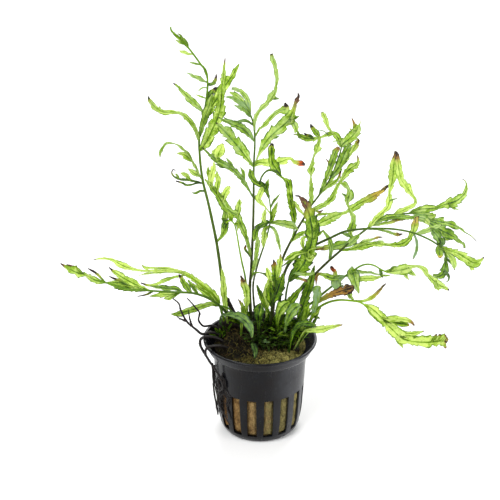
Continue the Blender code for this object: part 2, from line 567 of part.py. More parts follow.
def join(base, pieces):
    """One solid of a base and the pieces that grow from it, by Boolean unions."""
    for piece in pieces:
        union = base.modifiers.new("join " + piece.name, "BOOLEAN")
        union.operation = "UNION"
        union.solver = "MANIFOLD"
        union.object = helper(piece)
    made = solid_mesh(base)
    for piece in pieces:
        bpy.data.objects.remove(piece)
    return made


def cut(base, cutters):
    """The base with the cutters' shapes taken out."""
    for cutter in cutters:
        difference = base.modifiers.new("cut " + cutter.name, "BOOLEAN")
        difference.operation = "DIFFERENCE"
        difference.solver = "MANIFOLD"
        difference.object = cutter
    return solid_mesh(base)


def turned(name, profile, sides, collection, finish=None):
    """A profile of (radius, height) points, in mm, turned round the Z axis with a Screw."""
    mesh = bpy.data.meshes.new(name)
    mesh.from_pydata([(r * MM, 0, z * MM) for r, z in profile],
                     [(i, i + 1) for i in range(len(profile) - 1)], [])
    obj = new_object(name, mesh, collection, finish)
    screw = obj.modifiers.new("turn", "SCREW")
    screw.steps = sides
    screw.render_steps = sides
    screw.use_merge_vertices = True
    screw.merge_threshold = 1e-6
    return solid_mesh(obj)


def wall_radius(height):
    """Outer radius of the pot's plain wall at a height, in mm."""
    share = (height - FOOT_ROUNDING) / (POT_HEIGHT - COLLAR_DROP - FOOT_ROUNDING)
    return WALL_FOOT_RADIUS + (WALL_TOP_RADIUS - WALL_FOOT_RADIUS) * share


def make_pot(parts, cutters):
    """A thin tapered cup with a flared collar and a flat lip, slotted round its lower half."""
    collar = POT_HEIGHT - COLLAR_DROP
    lip = POT_HEIGHT - LIP_HEIGHT
    outside = [
        (RIM_RADIUS, POT_HEIGHT), (RIM_RADIUS, lip), (RIM_RADIUS - WALL, lip),
        (COLLAR_RADIUS, collar), (WALL_TOP_RADIUS, collar - 0.5), (WALL_FOOT_RADIUS, FOOT_ROUNDING),
        (WALL_FOOT_RADIUS - 0.9, 1.1), (FOOT_RADIUS, 0), (0, 0),
    ]
    inside = [
        (0, FLOOR), (FOOT_RADIUS - 0.4, FLOOR), (WALL_FOOT_RADIUS - WALL, FOOT_ROUNDING + 0.6),
        (WALL_TOP_RADIUS - WALL, collar - 0.9), (COLLAR_RADIUS - WALL, collar - 0.2),
        (RIM_RADIUS - 2 * WALL, lip), (RIM_RADIUS - 1.3 * WALL, POT_HEIGHT),
        (RIM_RADIUS, POT_HEIGHT),
    ]
    pot = turned("pot", outside + inside, POT_SIDES, parts, "pot")
    shape = bmesh.new()
    for k in range(SLOT_COUNT):
        turn = Matrix.Rotation(SLOT_PHASE + k * math.tau / SLOT_COUNT, 4, "Z")
        size = Matrix.Diagonal((SLOT_WIDTH * MM, 9 * MM, (SLOT_HIGH - SLOT_LOW) * MM, 1))
        middle = Vector((0, -WALL_FOOT_RADIUS * MM, (SLOT_HIGH + SLOT_LOW) / 2 * MM))
        bmesh.ops.create_cube(shape, size=1, matrix=turn @ Matrix.Translation(middle) @ size)
    for k in range(FOOT_SLOT_COUNT):
        turn = Matrix.Rotation(k * math.tau / FOOT_SLOT_COUNT, 4, "Z")
        size = Matrix.Diagonal((FOOT_SLOT_WIDTH * MM, (FOOT_SLOT_OUTER - FOOT_SLOT_INNER) * MM, 8 * MM, 1))
        middle = Vector((0, -(FOOT_SLOT_OUTER + FOOT_SLOT_INNER) / 2 * MM, 0))
        bmesh.ops.create_cube(shape, size=1, matrix=turn @ Matrix.Translation(middle) @ size)
    slots = bpy.data.meshes.new("slots")
    shape.to_mesh(slots)
    shape.free()
    return cut(pot, [helper(new_object("slots", slots, cutters))])


def wool_swell(x, y):
    """How far the wool's top stands above or below its level, in mm: high at the crown, low in front."""
    crown = 1.6 * np.exp(-((x - 2) ** 2 + (y - 8) ** 2) / 160)
    left = 1.0 * np.exp(-((x + 13) ** 2 + (y - 6) ** 2) / 70)
    return crown + left + 0.35 * np.sin(0.55 * x + 0.8) * np.cos(0.5 * y)


def make_wool(name, lift, collection, finish=None):
    """The rock wool plug fills the pot from its floor to just under the rim."""
    collar = POT_HEIGHT - COLLAR_DROP
    inner = WALL + GAP
    profile = [
        (0, WOOL_TOP + lift), (8, WOOL_TOP + lift), (15, WOOL_TOP + lift),
        (COLLAR_RADIUS - inner + 0.5, WOOL_TOP - 0.9 + lift), (WALL_TOP_RADIUS - inner, collar - 1),
        (WALL_FOOT_RADIUS - inner, FOOT_ROUNDING + 0.9), (FOOT_RADIUS - 1, FLOOR + GAP), (0, FLOOR + GAP),
    ]
    wool = turned(name, profile, WOOL_SIDES, collection, finish)
    for vertex in wool.data.vertices:
        if vertex.co.z > (WOOL_TOP - 0.5 + lift) * MM:
            vertex.co.z += wool_swell(vertex.co.x / MM, vertex.co.y / MM) * MM
    return wool


def blade_width(share):
    """Half width along a leaf, 0 at its base to 1 at its tip, as a share of the widest."""
    swell = np.sin(np.pi * np.clip(share, 0, 1) ** 0.85) ** 0.75
    return np.maximum(swell, BASE_SHARE * (1 - share))


def blade_mesh(name, middle, half_width, tilt, collection, finish=None, root=0.0):
    """A leaf blade: diamond sections with a thick midrib and thin toothed margins, closed to a point.
    root is the half thickness of a stalk that the blade starts as."""
    count = len(middle) - 1
    share = np.linspace(0, 1, count + 1)[:, None]
    along = unit(np.gradient(middle, axis=0))
    middle = np.vstack([middle[:1] - along[:1] * BASE_SINK, middle[1:]])
    normal = unit(facing - along * (along @ facing)[:, None])
    across = np.cross(along, normal)
    across, normal = (across * math.cos(tilt) + normal * math.sin(tilt),
                      normal * math.cos(tilt) - across * math.sin(tilt))
    width = half_width * blade_width(share)
    tooth = (np.arange(count + 1) % 2)[:, None]
    left_width = width * (1 - TOOTH_DEPTH * tooth)
    right_width = width * (1 - TOOTH_DEPTH * (1 - tooth))
    sweep = along * STATION_LENGTH * 0.25
    thickness = np.maximum(MIDRIB_THICKNESS * (1 - 0.6 * share), root * (1 - share) ** 2)
    left = middle + across * left_width + sweep * (1 - tooth) * (share > 0)
    right = middle - across * right_width + sweep * tooth
    rings = np.stack([left, middle + normal * thickness, right, middle - normal * thickness], axis=1)
    rings = rings[:-1]
    points = np.vstack([rings.reshape(-1, 3), middle[-1:]]) * MM
    faces = [(0, 1, 2, 3)]
    for ring in range(count - 1):
        for side in range(4):
            here, there = 4 * ring + side, 4 * ring + (side + 1) % 4
            faces.append((here, here + 4, there + 4, there))
    last, tip = 4 * (count - 1), 4 * count
    faces += [(last + side, tip, last + (side + 1) % 4) for side in range(4)]
    mesh = bpy.data.meshes.new(name)
    mesh.from_pydata(points.tolist(), [], faces)
    shape = bmesh.new()
    shape.from_mesh(mesh)
    face_outwards(shape)
    shape.to_mesh(mesh)
    shape.free()
    return new_object(name, mesh, collection, finish)


def filled(points):
    """Many points along straight lines between the given ones."""
    share = np.linspace(0, 1, 12, endpoint=False)[:, None, None]
    return np.vstack([(points[:-1] + (points[1:] - points[:-1]) * share).reshape(-1, 3), points[-1:]])


def leaflet_route(grown, picture, lean):
    """A leaflet's route as (across, up, back): it starts on the plant and leans to its tip."""
    start = grown[np.hypot(grown[:, 0] - picture[0][0], grown[:, 1] - picture[0][1]).argmin()]
    flat = np.array([start[:2], *picture[1:]])
    run = np.r_[0, np.cumsum(np.linalg.norm(np.diff(flat, axis=0), axis=1))]
    back = start[2] + lean * (run / run[-1]) ** 1.3
    return smooth_route(np.column_stack([flat, back]), STATION_LENGTH, MOST_STATIONS)


def make_frond(name, plan, parts, cutters):
    """A stalk with its leaflets, grown together into one solid and cut off at the rhizome."""
    route = smooth_route([seen(plan["foot"]), *plan["stalk"]], STALK_SEGMENT)
    grown = filled(route)
    radii = plan["radius"] * np.linspace(1, 0.42, len(route))
    stalk = tube(name, fanned(route), radii, parts, "frond")
    leaflets = []
    for index, (picture, half_width, lean) in enumerate(plan["leaflets"]):
        route = leaflet_route(grown, picture, lean)
        grown = np.vstack([grown, filled(route)])
        tilt = TILT * math.sin(TILT_STEP * index)
        leaflets.append(blade_mesh("leaflet_%02d" % index, fanned(route), half_width, tilt, parts))
    return cut(join(stalk, leaflets), cutters)


def make_small_leaf(name, plan, index, parts, cutters):
    foot, picture, half_width = plan
    route = smooth_route([seen(foot), *picture], STATION_LENGTH, MOST_STATIONS)
    tilt = TILT * math.sin(TILT_STEP * index)
    blade = blade_mesh(name, fanned(route), half_width, tilt, parts, "frond", root=0.6)
    return flat_faced(cut(blade, cutters))


def make_stem(name, route, given_radii, swell, collection, finish=None):
    points = smooth_route(route, 3.4)
    given = np.linspace(0, 1, len(given_radii))
    radii = np.interp(np.linspace(0, 1, len(points)), given, given_radii)
    radii = radii * (1 + 0.1 * (np.arange(len(points)) % 2)) + swell
    return tube(name, points, radii, collection, finish, resolution=1)


def make_rhizome(name, swell, collection, grown, finish=None):
    """The creeping stem and its branch, with whatever else has grown from it."""
    branch = make_stem(name + "_branch", BRANCH_ROUTE, BRANCH_RADII, swell, collection)
    return join(make_stem(name, RHIZOME_ROUTE, RHIZOME_RADII, swell, collection, finish), [branch, *grown])


def make_shoots(collection):
    grown = [tube("stump", STUMP_ROUTE, STUMP_RADII, collection, None)]
    for index, (half_width, route) in enumerate(SHOOTS):
        middle = smooth_route(route, 2.5)
        grown.append(blade_mesh("shoot_%d" % index, middle, half_width, index, collection, root=0.7))
    return grown


def make_root(name, parts, cutters):
    radius, route = ROOTS[name]
    points = smooth_route(route, 4.0)
    root = tube(name, points, radius * np.linspace(1.15, 0.7, len(points)), parts, "root")
    forks = []
    for fork_radius, fork_route in ROOT_FORKS.get(name, []):
        points = smooth_route(fork_route, 3.0)
        radii = fork_radius * np.linspace(1, 0.7, len(points))
        forks.append(tube("fork_%d" % len(forks), points, radii, parts, None))
    return cut(join(root, forks), cutters)


def main():
    for obj in list(bpy.data.objects):
        bpy.data.objects.remove(obj)
    scene = bpy.context.scene
    scene.unit_settings.scale_length = 1.0
    parts = bpy.data.collections.new("potted_water_fern")
    cutters = bpy.data.collections.new("cutters")
    scene.collection.children.link(parts)
    scene.collection.children.link(cutters)

    make_pot(parts, cutters)
    make_rhizome("rhizome", 0, parts, make_shoots(cutters), "rhizome")
    rhizome_room = helper(make_rhizome("rhizome_room", GAP, cutters, []))
    wool_room = helper(make_wool("wool_room", GAP, cutters))
    cut(make_wool("rock_wool", 0, parts, "wool"), [rhizome_room])
    rooms = [rhizome_room, wool_room]
    for index, (name, plan) in enumerate(SMALL_LEAVES.items()):
        make_small_leaf(name, plan, index, parts, rooms)
    for name, plan in FRONDS.items():
        make_frond(name, plan, parts, rooms)
    for name in ROOTS:
        make_root(name, parts, rooms)


main()
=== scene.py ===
# A potted water fern: lobed fronds on a creeping rhizome, in a slotted black nursery pot of rock wool.
# Lengths are in mm until a mesh is made. The plant's routes are (across, up, back): across and up are
# read in the upright front view from the middle of the rim, back is the distance behind the pot's axis.
import math

import bpy
import numpy as np
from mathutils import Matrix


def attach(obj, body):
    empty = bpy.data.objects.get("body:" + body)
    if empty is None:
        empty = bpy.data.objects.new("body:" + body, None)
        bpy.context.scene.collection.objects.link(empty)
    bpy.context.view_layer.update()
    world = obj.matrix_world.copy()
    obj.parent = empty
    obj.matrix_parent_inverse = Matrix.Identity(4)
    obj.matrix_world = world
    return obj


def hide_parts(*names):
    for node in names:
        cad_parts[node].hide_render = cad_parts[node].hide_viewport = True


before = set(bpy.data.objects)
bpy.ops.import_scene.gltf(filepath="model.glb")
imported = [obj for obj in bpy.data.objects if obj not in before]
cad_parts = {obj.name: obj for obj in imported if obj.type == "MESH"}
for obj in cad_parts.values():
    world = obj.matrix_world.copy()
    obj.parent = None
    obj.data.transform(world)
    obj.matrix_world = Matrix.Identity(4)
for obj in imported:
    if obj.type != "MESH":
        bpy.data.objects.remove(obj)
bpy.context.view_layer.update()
print("frame loaded:", len(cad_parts), "nodes")

mm = 0.001
view = {
    "elevation": math.radians(25.0), "distance": 620.0, "aimAcross": -4.4, "aimUp": 37.5, "rimHeight": 44.0,
    "cameraLift": 0.62, "frameWidth": 219.3,
}
fan = {"across": 3.0, "up": 3.0, "back": 4.0, "start": 25.0, "length": 130.0}
forward = np.array([0.0, math.cos(view["elevation"]), -math.sin(view["elevation"])])
upward = np.array([0.0, math.sin(view["elevation"]), math.cos(view["elevation"])])
sideways = np.array([1.0, 0.0, 0.0])
eye = (np.array([0.0, 0.0, view["rimHeight"]]) + sideways * view["aimAcross"]
       + upward * view["aimUp"] - forward * view["distance"])


# Where the line of sight through (across, up) crosses the plane y = back.
def place(route):
    route = np.atleast_2d(np.asarray(route, float))
    ray = (forward * view["distance"] + np.outer(route[:, 0] - view["aimAcross"], sideways)
           + np.outer(route[:, 1] - view["aimUp"], upward))
    return eye + ray * ((route[:, 2] - eye[1]) / ray[:, 1])[:, None]


# The (across, up) at which a real point is seen, and its back
def seen(point):
    sight = np.asarray(point, float) - eye
    sight = sight * view["distance"] / (sight @ forward)
    return (sight @ sideways + view["aimAcross"], sight @ upward + view["aimUp"], point[1])


# A picture route in space: back grows from the crown's plane by 1 + reach / length past the start.
def fanned(route):
    route = np.asarray(route, float)
    reach = np.hypot(route[:, 0] - fan["across"], route[:, 1] - fan["up"])
    spread = 1 + np.maximum(reach - fan["start"], 0) / fan["length"]
    return place(np.column_stack([route[:, :2], fan["back"] + (route[:, 2] - fan["back"]) * spread]))


# Rows divided by their lengths
def unit(rows):
    return rows / np.maximum(np.linalg.norm(rows, axis=-1, keepdims=True), 1e-9)


# The distance run along a line, at each of its points
def runAlong(line):
    return np.r_[0, np.cumsum(np.linalg.norm(np.diff(line, axis=0), axis=1))]


# Even points on a Catmull-Rom curve: half of (2b, c - a, 2a - 5b + 4c - d, 3b - a - 3c + d) by powers of t.
def smoothRoute(points, spacing, perSpan=40):
    points = np.asarray(points, float)
    ends = np.vstack([2 * points[0] - points[1], points, 2 * points[-1] - points[-2]])
    a, b, c, d = (ends[k:len(ends) - 3 + k, None, :] for k in range(4))
    t = np.linspace(0, 1, perSpan, endpoint=False)[None, :, None]
    dense = 0.5 * (2 * b + (c - a) * t + (2 * a - 5 * b + 4 * c - d) * t ** 2
                   + (3 * b - a - 3 * c + d) * t ** 3)
    dense = np.vstack([dense.reshape(-1, points.shape[1]), points[-1:]])
    run = runAlong(dense)
    wanted = np.linspace(0, run[-1], max(int(round(run[-1] / spacing)), 3) + 1)
    return np.stack([np.interp(wanted, run, dense[:, k]) for k in range(points.shape[1])], axis=1)


lattice = {"values": 4096, "shift": 97.3, "primes": (73856093, 19349663, 83492791)}


# Smooth noise from -1 to 1: hashed values at lattice corners, blended by 3t² - 2t³ along each axis.
def lumps(points, size, seed):
    table = np.random.default_rng(seed).uniform(-1, 1, lattice["values"])
    spots = np.asarray(points, float) / size + lattice["shift"]
    cell = np.floor(spots).astype(np.int64)
    part = spots - cell
    part = part * part * (3 - 2 * part)
    summed = 0.0
    for corner in np.ndindex(2, 2, 2):
        key = (cell + corner) * lattice["primes"]
        weight = np.prod(np.where(np.array(corner) == 1, part, 1 - part), axis=-1)
        summed = summed + table[(key[..., 0] ^ key[..., 1] ^ key[..., 2]) % lattice["values"]] * weight
    return summed


# Fields of a grid, each a number or an array, side by side in the last axis
def sideBySide(shape, *fields):
    return np.stack([np.broadcast_to(field, shape) for field in fields], axis=-1).astype(float)


# A closed skin over grids of rings (piece, ring, around): quads between rings, a fan to a pole at each end.
# Cells that keep leaves out stay open, and extra quads (of ring * around + place numbers) close them.
def skin(grid, slot=0, keep=None, extra=None, **values):
    count, rings, around = grid.shape[:3]
    size = rings * around + 2
    numbers = np.arange(rings * around).reshape(rings, around)
    after = np.roll(numbers, -1, axis=1)
    quads = np.stack([numbers[:-1], after[:-1], after[1:], numbers[1:]], axis=-1)
    quads = quads.reshape(-1, 4) if keep is None else np.vstack([quads[keep], extra])
    starts = np.stack([after[0], numbers[0], np.full(around, size - 2)], axis=1)
    finishes = np.stack([numbers[-1], after[-1], np.full(around, size - 1)], axis=1)
    shift = (np.arange(count) * size)[:, None, None]

    def withPoles(field):
        flat = field.reshape(count, rings * around, -1)
        first, last = field[:, 0].mean(axis=1)[:, None], field[:, -1].mean(axis=1)[:, None]
        return np.concatenate([flat, first, last], axis=1).reshape(count * size, -1)

    return {"points": withPoles(grid), "quads": (quads[None] + shift).reshape(-1, 4),
            "tris": (np.vstack([starts, finishes])[None] + shift).reshape(-1, 3), "slot": slot,
            "values": {key: withPoles(np.broadcast_to(value, grid.shape[:3] + (value.shape[-1],)))
                       for key, value in values.items()}}


# One mesh object, in metres, from several skins. Each value becomes a vertex attribute of its name.
def makePiece(name, skins, materials, nodes, sharp=40):
    shift = np.r_[0, np.cumsum([len(part["points"]) for part in skins])]
    faces, slots = [], []
    for part, start in zip(skins, shift):
        faces += (part["quads"] + start).tolist() + (part["tris"] + start).tolist()
        slots += [part["slot"]] * (len(part["quads"]) + len(part["tris"]))
    mesh = bpy.data.meshes.new(name)
    mesh.from_pydata((np.vstack([part["points"] for part in skins]) * mm).tolist(), [], faces)
    for material in materials:
        mesh.materials.append(material)
    mesh.polygons.foreach_set("material_index", slots)
    for key in skins[0]["values"]:
        field = np.vstack([part["values"][key] for part in skins]).astype(np.float32)
        kind, word = ("FLOAT_COLOR", "color") if field.shape[1] == 4 else ("FLOAT_VECTOR", "vector")
        mesh.attributes.new(key, kind, "POINT").data.foreach_set(word, field.ravel())
    mesh.shade_smooth()
    mesh.set_sharp_from_angle(angle=math.radians(sharp))
    mesh.update()
    piece = bpy.data.objects.new(name, mesh)
    bpy.context.scene.collection.objects.link(piece)
    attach(piece, "root")
    if nodes:
        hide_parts(*nodes)
    print("%s: %d faces" % (name, len(mesh.polygons)))
    return piece


# Directions that follow a line: along it, the side, and the normal nearest to the given way, turned about
# the line. Three rounds of averaging with the neighbours keep the normal from jumping.
def followLine(middle, way, turn):
    along = unit(np.gradient(middle, axis=-2))
    normal = unit(way - along * (along @ way)[..., None] + 1e-4)
    for _ in range(3):
        padded = np.concatenate([normal[..., :1, :], normal, normal[..., -1:, :]], axis=-2)
        normal = padded[..., :-2, :] + padded[..., 2:, :] + normal
        normal = unit(normal - along * np.sum(along * normal, axis=-1, keepdims=True))
    side = np.cross(along, normal)
    cos, sin = np.cos(turn)[..., None], np.sin(turn)[..., None]
    return along, side * cos + normal * sin, normal * cos - side * sin


tubeWay = np.array([0.3, -0.8, 0.5])  # the way that a tube's normal keeps to


# Tubes: point = middle + radius * (cos a * side - sin a * normal), radius given by ring and place around.
def tubes(middle, radius, sides, slot=0, **values):
    angle = np.linspace(0, math.tau, sides, endpoint=False)
    side, normal = followLine(middle, tubeWay, np.zeros(middle.shape[:-1]))[1:]
    ring = side[..., None, :] * np.cos(angle)[:, None] - normal[..., None, :] * np.sin(angle)[:, None]
    return skin(middle[..., None, :] + ring * radius[..., None], slot, **values)


# A shader node: a socket given as a value is linked, and a plain number or colour is set on the input.
def addNode(tree, kind, sockets=None, **settings):
    made = tree.nodes.new("ShaderNode" + kind)
    for key, value in settings.items():
        setattr(made, key, value)
    for key, value in (sockets or {}).items():
        if isinstance(value, bpy.types.NodeSocket):
            tree.links.new(value, made.inputs[key])
        else:
            made.inputs[key].default_value = value
    return made


# One step of arithmetic on numbers
def reckon(tree, operation, first, second=0.0, third=0.0):
    return addNode(tree, "Math", {0: first, 1: second, 2: third}, operation=operation).outputs[0]


# first + second
def total(tree, first, second):
    return reckon(tree, "ADD", first, second)


# first * second
def product(tree, first, second):
    return reckon(tree, "MULTIPLY", first, second)


# value * factor + offset
def scaled(tree, value, factor, offset=0.0):
    return reckon(tree, "MULTIPLY_ADD", value, factor, offset)


# A smooth step: low maps to start, high maps to end, by 3t² - 2t³ between.
def ease(tree, value, low, high, start=0.0, end=1.0):
    return addNode(tree, "MapRange", {"Value": value, "From Min": low, "From Max": high, "To Min": start,
                                      "To Max": end}, interpolation_type="SMOOTHSTEP").outputs["Result"]


# Fractal noise, in patches of 1 / scale
def noise(tree, vector, scale, detail=3.0, rough=0.55):
    return addNode(tree, "TexNoise", {"Vector": vector, "Scale": scale, "Detail": detail,
                                      "Roughness": rough}).outputs["Fac"]


# Colours between (place, colour) stops
def ramp(tree, factor, stops):
    made = addNode(tree, "ValToRGB", {"Fac": factor})
    for _ in range(len(stops) - 2):
        made.color_ramp.elements.new(0.5)
    for element, (spot, colour) in zip(made.color_ramp.elements, stops):
        element.position = spot
        element.color = (*colour, 1)
    return made.outputs["Color"]


# first * (1 - factor) + second * factor
def blendColour(tree, factor, first, second):
    made = addNode(tree, "Mix", data_type="RGBA")
    for socket, value in zip((made.inputs[0], made.inputs[6], made.inputs[7]), (factor, first, second)):
        if isinstance(value, bpy.types.NodeSocket):
            tree.links.new(value, socket)
        else:
            socket.default_value = (*value, 1)
    return made.outputs[2]


# A vector of three numbers
def combine(tree, x, y, z):
    return addNode(tree, "CombineXYZ", {0: x, 1: y, 2: z}).outputs[0]


# A vertex attribute's three numbers
def attribute(tree, name):
    vector = addNode(tree, "Attribute", attribute_name=name).outputs["Vector"]
    return addNode(tree, "SeparateXYZ", {0: vector}).outputs


# An empty material, its nodes, its shader, and its object coordinates in metres
def startMaterial(name, specular):
    material = bpy.data.materials.new(name)
    material.use_nodes = True
    tree = material.node_tree
    shader = tree.nodes["Principled BSDF"]
    shader.inputs["Specular IOR Level"].default_value = specular
    return material, tree, shader, addNode(tree, "TexCoord").outputs["Object"]


# A material's last links: colour, roughness, and a bump with its strength and its distance in mm
def finishMaterial(tree, shader, colour, rough, height, bump):
    tree.links.new(colour, shader.inputs["Base Color"])
    tree.links.new(rough, shader.inputs["Roughness"])
    raised = addNode(tree, "Bump", {"Height": height, "Strength": bump[0], "Distance": bump[1] * mm})
    tree.links.new(raised.outputs["Normal"], shader.inputs["Normal"])
    return raised.outputs["Normal"]


# Greens by tone, shared by leaves and stalks
greens = [(0.0, (0.008, 0.022, 0.002)), (0.2, (0.030, 0.080, 0.006)), (0.42, (0.106, 0.240, 0.005)),
          (0.7, (0.34, 0.545, 0.016)), (1.0, (0.78, 0.91, 0.26))]
# Leaf colours. Patches and folds change the tone by (factor, offset) as painted light and shade, base by
# (foot's, blade's) part, and each kind of mark by its own strength. The crease mark is painted shade, and the
# bloom is a grey bloom that is partly a painted sheen.
leafFinish = {
    "specular": 0.28, "rough": (0.34, 0.56), "bump": (0.55, 0.09), "seeThrough": 0.42,
    "shadeAndMottle": (0.9, -0.37), "foldsAndShade": (1.1, -0.45), "base": (-0.16, 0.03),
    "margin": -0.44, "midrib": -0.42, "creaseShade": -0.2, "sideVein": -0.08, "net": -0.06,
    "bloomAndSheen": (0.29, 0.45, 0.24), "halo": (0.50, 0.48, 0.05), "withered": (0.016, 0.006, 0.003),
}


# Leaf: green by tone, with lengthwise folds, painted light and shade in patches and along the folds, painted
# shade in the creases, darker margins, midrib and veins, a grey bloom laid on the brighter parts as partly a
# painted sheen, and a tip that withers as (share of the leaf's run + reach - 1) / reach grows.
def makeLeafMaterial():
    finish = leafFinish
    material, tree, shader, coords = startMaterial("fernLeaf", finish["specular"])
    along, acrossLeaf, share = attribute(tree, "leafPlace")
    tone, frost, seed = attribute(tree, "look")
    tip = addNode(tree, "Attribute", attribute_name="leafTip").outputs
    off = reckon(tree, "ABSOLUTE", acrossLeaf)
    shadeAndMottle = noise(tree, coords, 240.0, 4.0, 0.6)
    fine = noise(tree, coords, 1500.0, 2.0)
    ownPlace = scaled(tree, seed, 40.0)
    foldPlace = combine(tree, scaled(tree, along, 0.16), scaled(tree, acrossLeaf, 1.5), ownPlace)
    foldsAndShade = noise(tree, foldPlace, 1.6, 3.0, 0.6)
    # painted shade: the tone darkens along the creases of the folds
    creaseShade = reckon(tree, "ABSOLUTE", total(tree, foldsAndShade, -0.47))
    veinPhase = reckon(tree, "SUBTRACT", scaled(tree, along, 0.6), scaled(tree, off, 0.8))
    cell = combine(tree, along, scaled(tree, acrossLeaf, 2.0), ownPlace)
    cells = addNode(tree, "TexVoronoi", {"Vector": cell, "Scale": 1.7}, feature="DISTANCE_TO_EDGE")
    marks = {
        "margin": ease(tree, off, 0.72, 0.97),
        "midrib": ease(tree, off, 0.03, 0.17, 1.0, 0.0),
        "creaseShade": ease(tree, creaseShade, 0.0, 0.035, 1.0, 0.0),
        "sideVein": ease(tree, reckon(tree, "PINGPONG", veinPhase, 0.5), 0.0, 0.1, 1.0, 0.0),
        "net": ease(tree, cells.outputs["Distance"], 0.0, 0.09, 1.0, 0.0),
    }
    # painted light and shade: the tone rises and falls with the patches and along the folds
    green = total(tree, tone, scaled(tree, shadeAndMottle, *finish["shadeAndMottle"]))
    green = total(tree, green, scaled(tree, foldsAndShade, *finish["foldsAndShade"]))
    green = total(tree, green, ease(tree, along, 0.0, 5.0, *finish["base"]))
    for name, mark in marks.items():
        green = scaled(tree, mark, finish[name], green)
    colour = ramp(tree, green, greens)

    # grey bloom that is partly a painted sheen: it is laid on the brighter patches and the fold ridges
    bloomSheenMask = ease(tree, total(tree, shadeAndMottle, scaled(tree, foldsAndShade, 0.5, -0.25)), 0.42, 0.6)
    bloomAndSheen = product(tree, frost, total(tree, bloomSheenMask, 0.28))
    colour = blendColour(tree, bloomAndSheen, colour, finish["bloomAndSheen"])

    reach = reckon(tree, "MAXIMUM", tip["Alpha"], 0.015)
    worn = total(tree, share, scaled(tree, shadeAndMottle, 0.16, -0.08))
    worn = reckon(tree, "DIVIDE", total(tree, worn, total(tree, reach, -1.0)), reach)
    dead = ease(tree, worn, -0.05, 0.4)
    colour = blendColour(tree, ease(tree, worn, -0.45, 0.1, 0.0, 0.5), colour, finish["halo"])
    dark = scaled(tree, foldsAndShade, 2.6, scaled(tree, shadeAndMottle, 1.6, -1.9))
    dark = total(tree, dark, scaled(tree, marks["margin"], 0.7, scaled(tree, marks["midrib"], 0.5)))
    dark = total(tree, dark, ease(tree, worn, 0.45, 1.0, 0.0, 0.5))
    withered = blendColour(tree, ease(tree, dark, 0.1, 0.7), tip["Color"], finish["withered"])
    colour = blendColour(tree, dead, colour, withered)

    height = total(tree, scaled(tree, marks["sideVein"], 0.5), scaled(tree, marks["net"], 0.35))
    height = scaled(tree, foldsAndShade, 2.4, scaled(tree, fine, 0.4, height))
    rough = ease(tree, fine, 0.2, 0.8, *finish["rough"])
    normal = finishMaterial(tree, shader, colour, rough, height, finish["bump"])
    through = addNode(tree, "BsdfTranslucent", {"Color": colour, "Normal": normal})
    glow = scaled(tree, dead, -0.36, finish["seeThrough"])
    mixed = addNode(tree, "MixShader", {0: glow, 1: shader.outputs[0], 2: through.outputs[0]})
    tree.links.new(mixed.outputs[0], tree.nodes["Material Output"].inputs["Surface"])
    return material


stalkFinish = {
    "specular": 0.12, "rough": (0.32, 0.55), "bump": (0.4, 0.08), "scale": (0.012, 0.009, 0.006),
    "husk": [(0.3, (0.016, 0.010, 0.008)), (0.7, (0.07, 0.05, 0.028))],
}


# Stalk: brown-black at the foot, green above, with long streaks and small dark scales.
def makeStalkMaterial():
    finish = stalkFinish
    material, tree, shader, coords = startMaterial("fernStalk", finish["specular"])
    along, around, share = attribute(tree, "leafPlace")
    tone, brown, seed = attribute(tree, "look")
    streak = noise(tree, combine(tree, scaled(tree, along, 0.12), scaled(tree, around, 2.5), seed), 2.2, 3.0)
    speck = noise(tree, coords, 1800.0, 2.0)
    green = scaled(tree, streak, 0.4, scaled(tree, share, 0.2, -0.6))
    colour = ramp(tree, total(tree, green, tone), greens)
    old = product(tree, brown, ease(tree, share, 0.25, 1.0, 1.0, 0.35))
    old = reckon(tree, "MAXIMUM", old, ease(tree, share, 0.0, 0.12, 0.75, 0.0))
    colour = blendColour(tree, old, colour, ramp(tree, streak, finish["husk"]))
    colour = blendColour(tree, ease(tree, speck, 0.66, 0.74, 0.0, 0.6), colour, finish["scale"])
    rough = ease(tree, streak, 0.3, 0.7, *finish["rough"])
    finishMaterial(tree, shader, colour, rough, scaled(tree, speck, 0.3, streak), finish["bump"])
    return material


leafMaterials = [makeLeafMaterial(), makeStalkMaterial()]
print("leaf materials done")

# Colours that a leaf's tip withers to
tipColours = {
    "black": (0.012, 0.006, 0.004), "brown": (0.30, 0.16, 0.02), "purple": (0.16, 0.07, 0.03),
    "orange": (0.62, 0.10, 0.01), "yellow": (0.66, 0.50, 0.07), "tan": (0.44, 0.36, 0.05),
    "dark": (0.025, 0.05, 0.012), "amber": (0.62, 0.46, 0.06),
}
leafShape = {
    "spacing": 0.3, "widen": 1.24, "thickness": 0.085, "edge": 0.018, "midrib": 0.17, "midribWidth": 0.24,
    "ribFade": 0.75, "ribAbove": 0.45, "ruffle": 0.2, "fold": 0.16, "quilt": 0.125, "quiltRate": 4.6,
    "twist": 0.35, "leastWidth": 0.05, "baseShare": 0.3, "plainWiden": 1.1, "stemRun": 2.2,
    "tilt": math.radians(24.0), "tiltStep": 2.4,
}
teeth = {
    "depth": 0.4, "fullWidth": 1.4, "pitch": 1.7, "pitchGrowth": 0.55, "rise": 0.82, "push": 0.85,
    "sizes": (-0.2, 1.25), "count": 64, "footFade": 0.12, "tipFade": 0.06,
}
stalkShape = {
    "spacing": 0.5, "sides": 12, "taper": ([0, 0.2, 0.6, 1], [1.0, 0.75, 0.56, 0.4]), "rootShare": 0.34,
    "grooveDepth": 0.16, "grooveAngle": 4.7, "grooveWidth": 0.5, "swelling": 0.07, "swellingSize": 1.3,
}
sunward = np.array([0.0, -math.cos(math.radians(45)), math.sin(math.radians(45))])  # leaves face this way
across = np.array([-1, -0.9, -0.72, -0.5, -0.3, -0.12, 0, 0.12, 0.3, 0.5, 0.72, 0.9, 1])
ringAcross = np.r_[across, across[-2:0:-1]]
ringUpper = np.r_[np.ones(len(across)), -np.ones(len(across) - 2)]


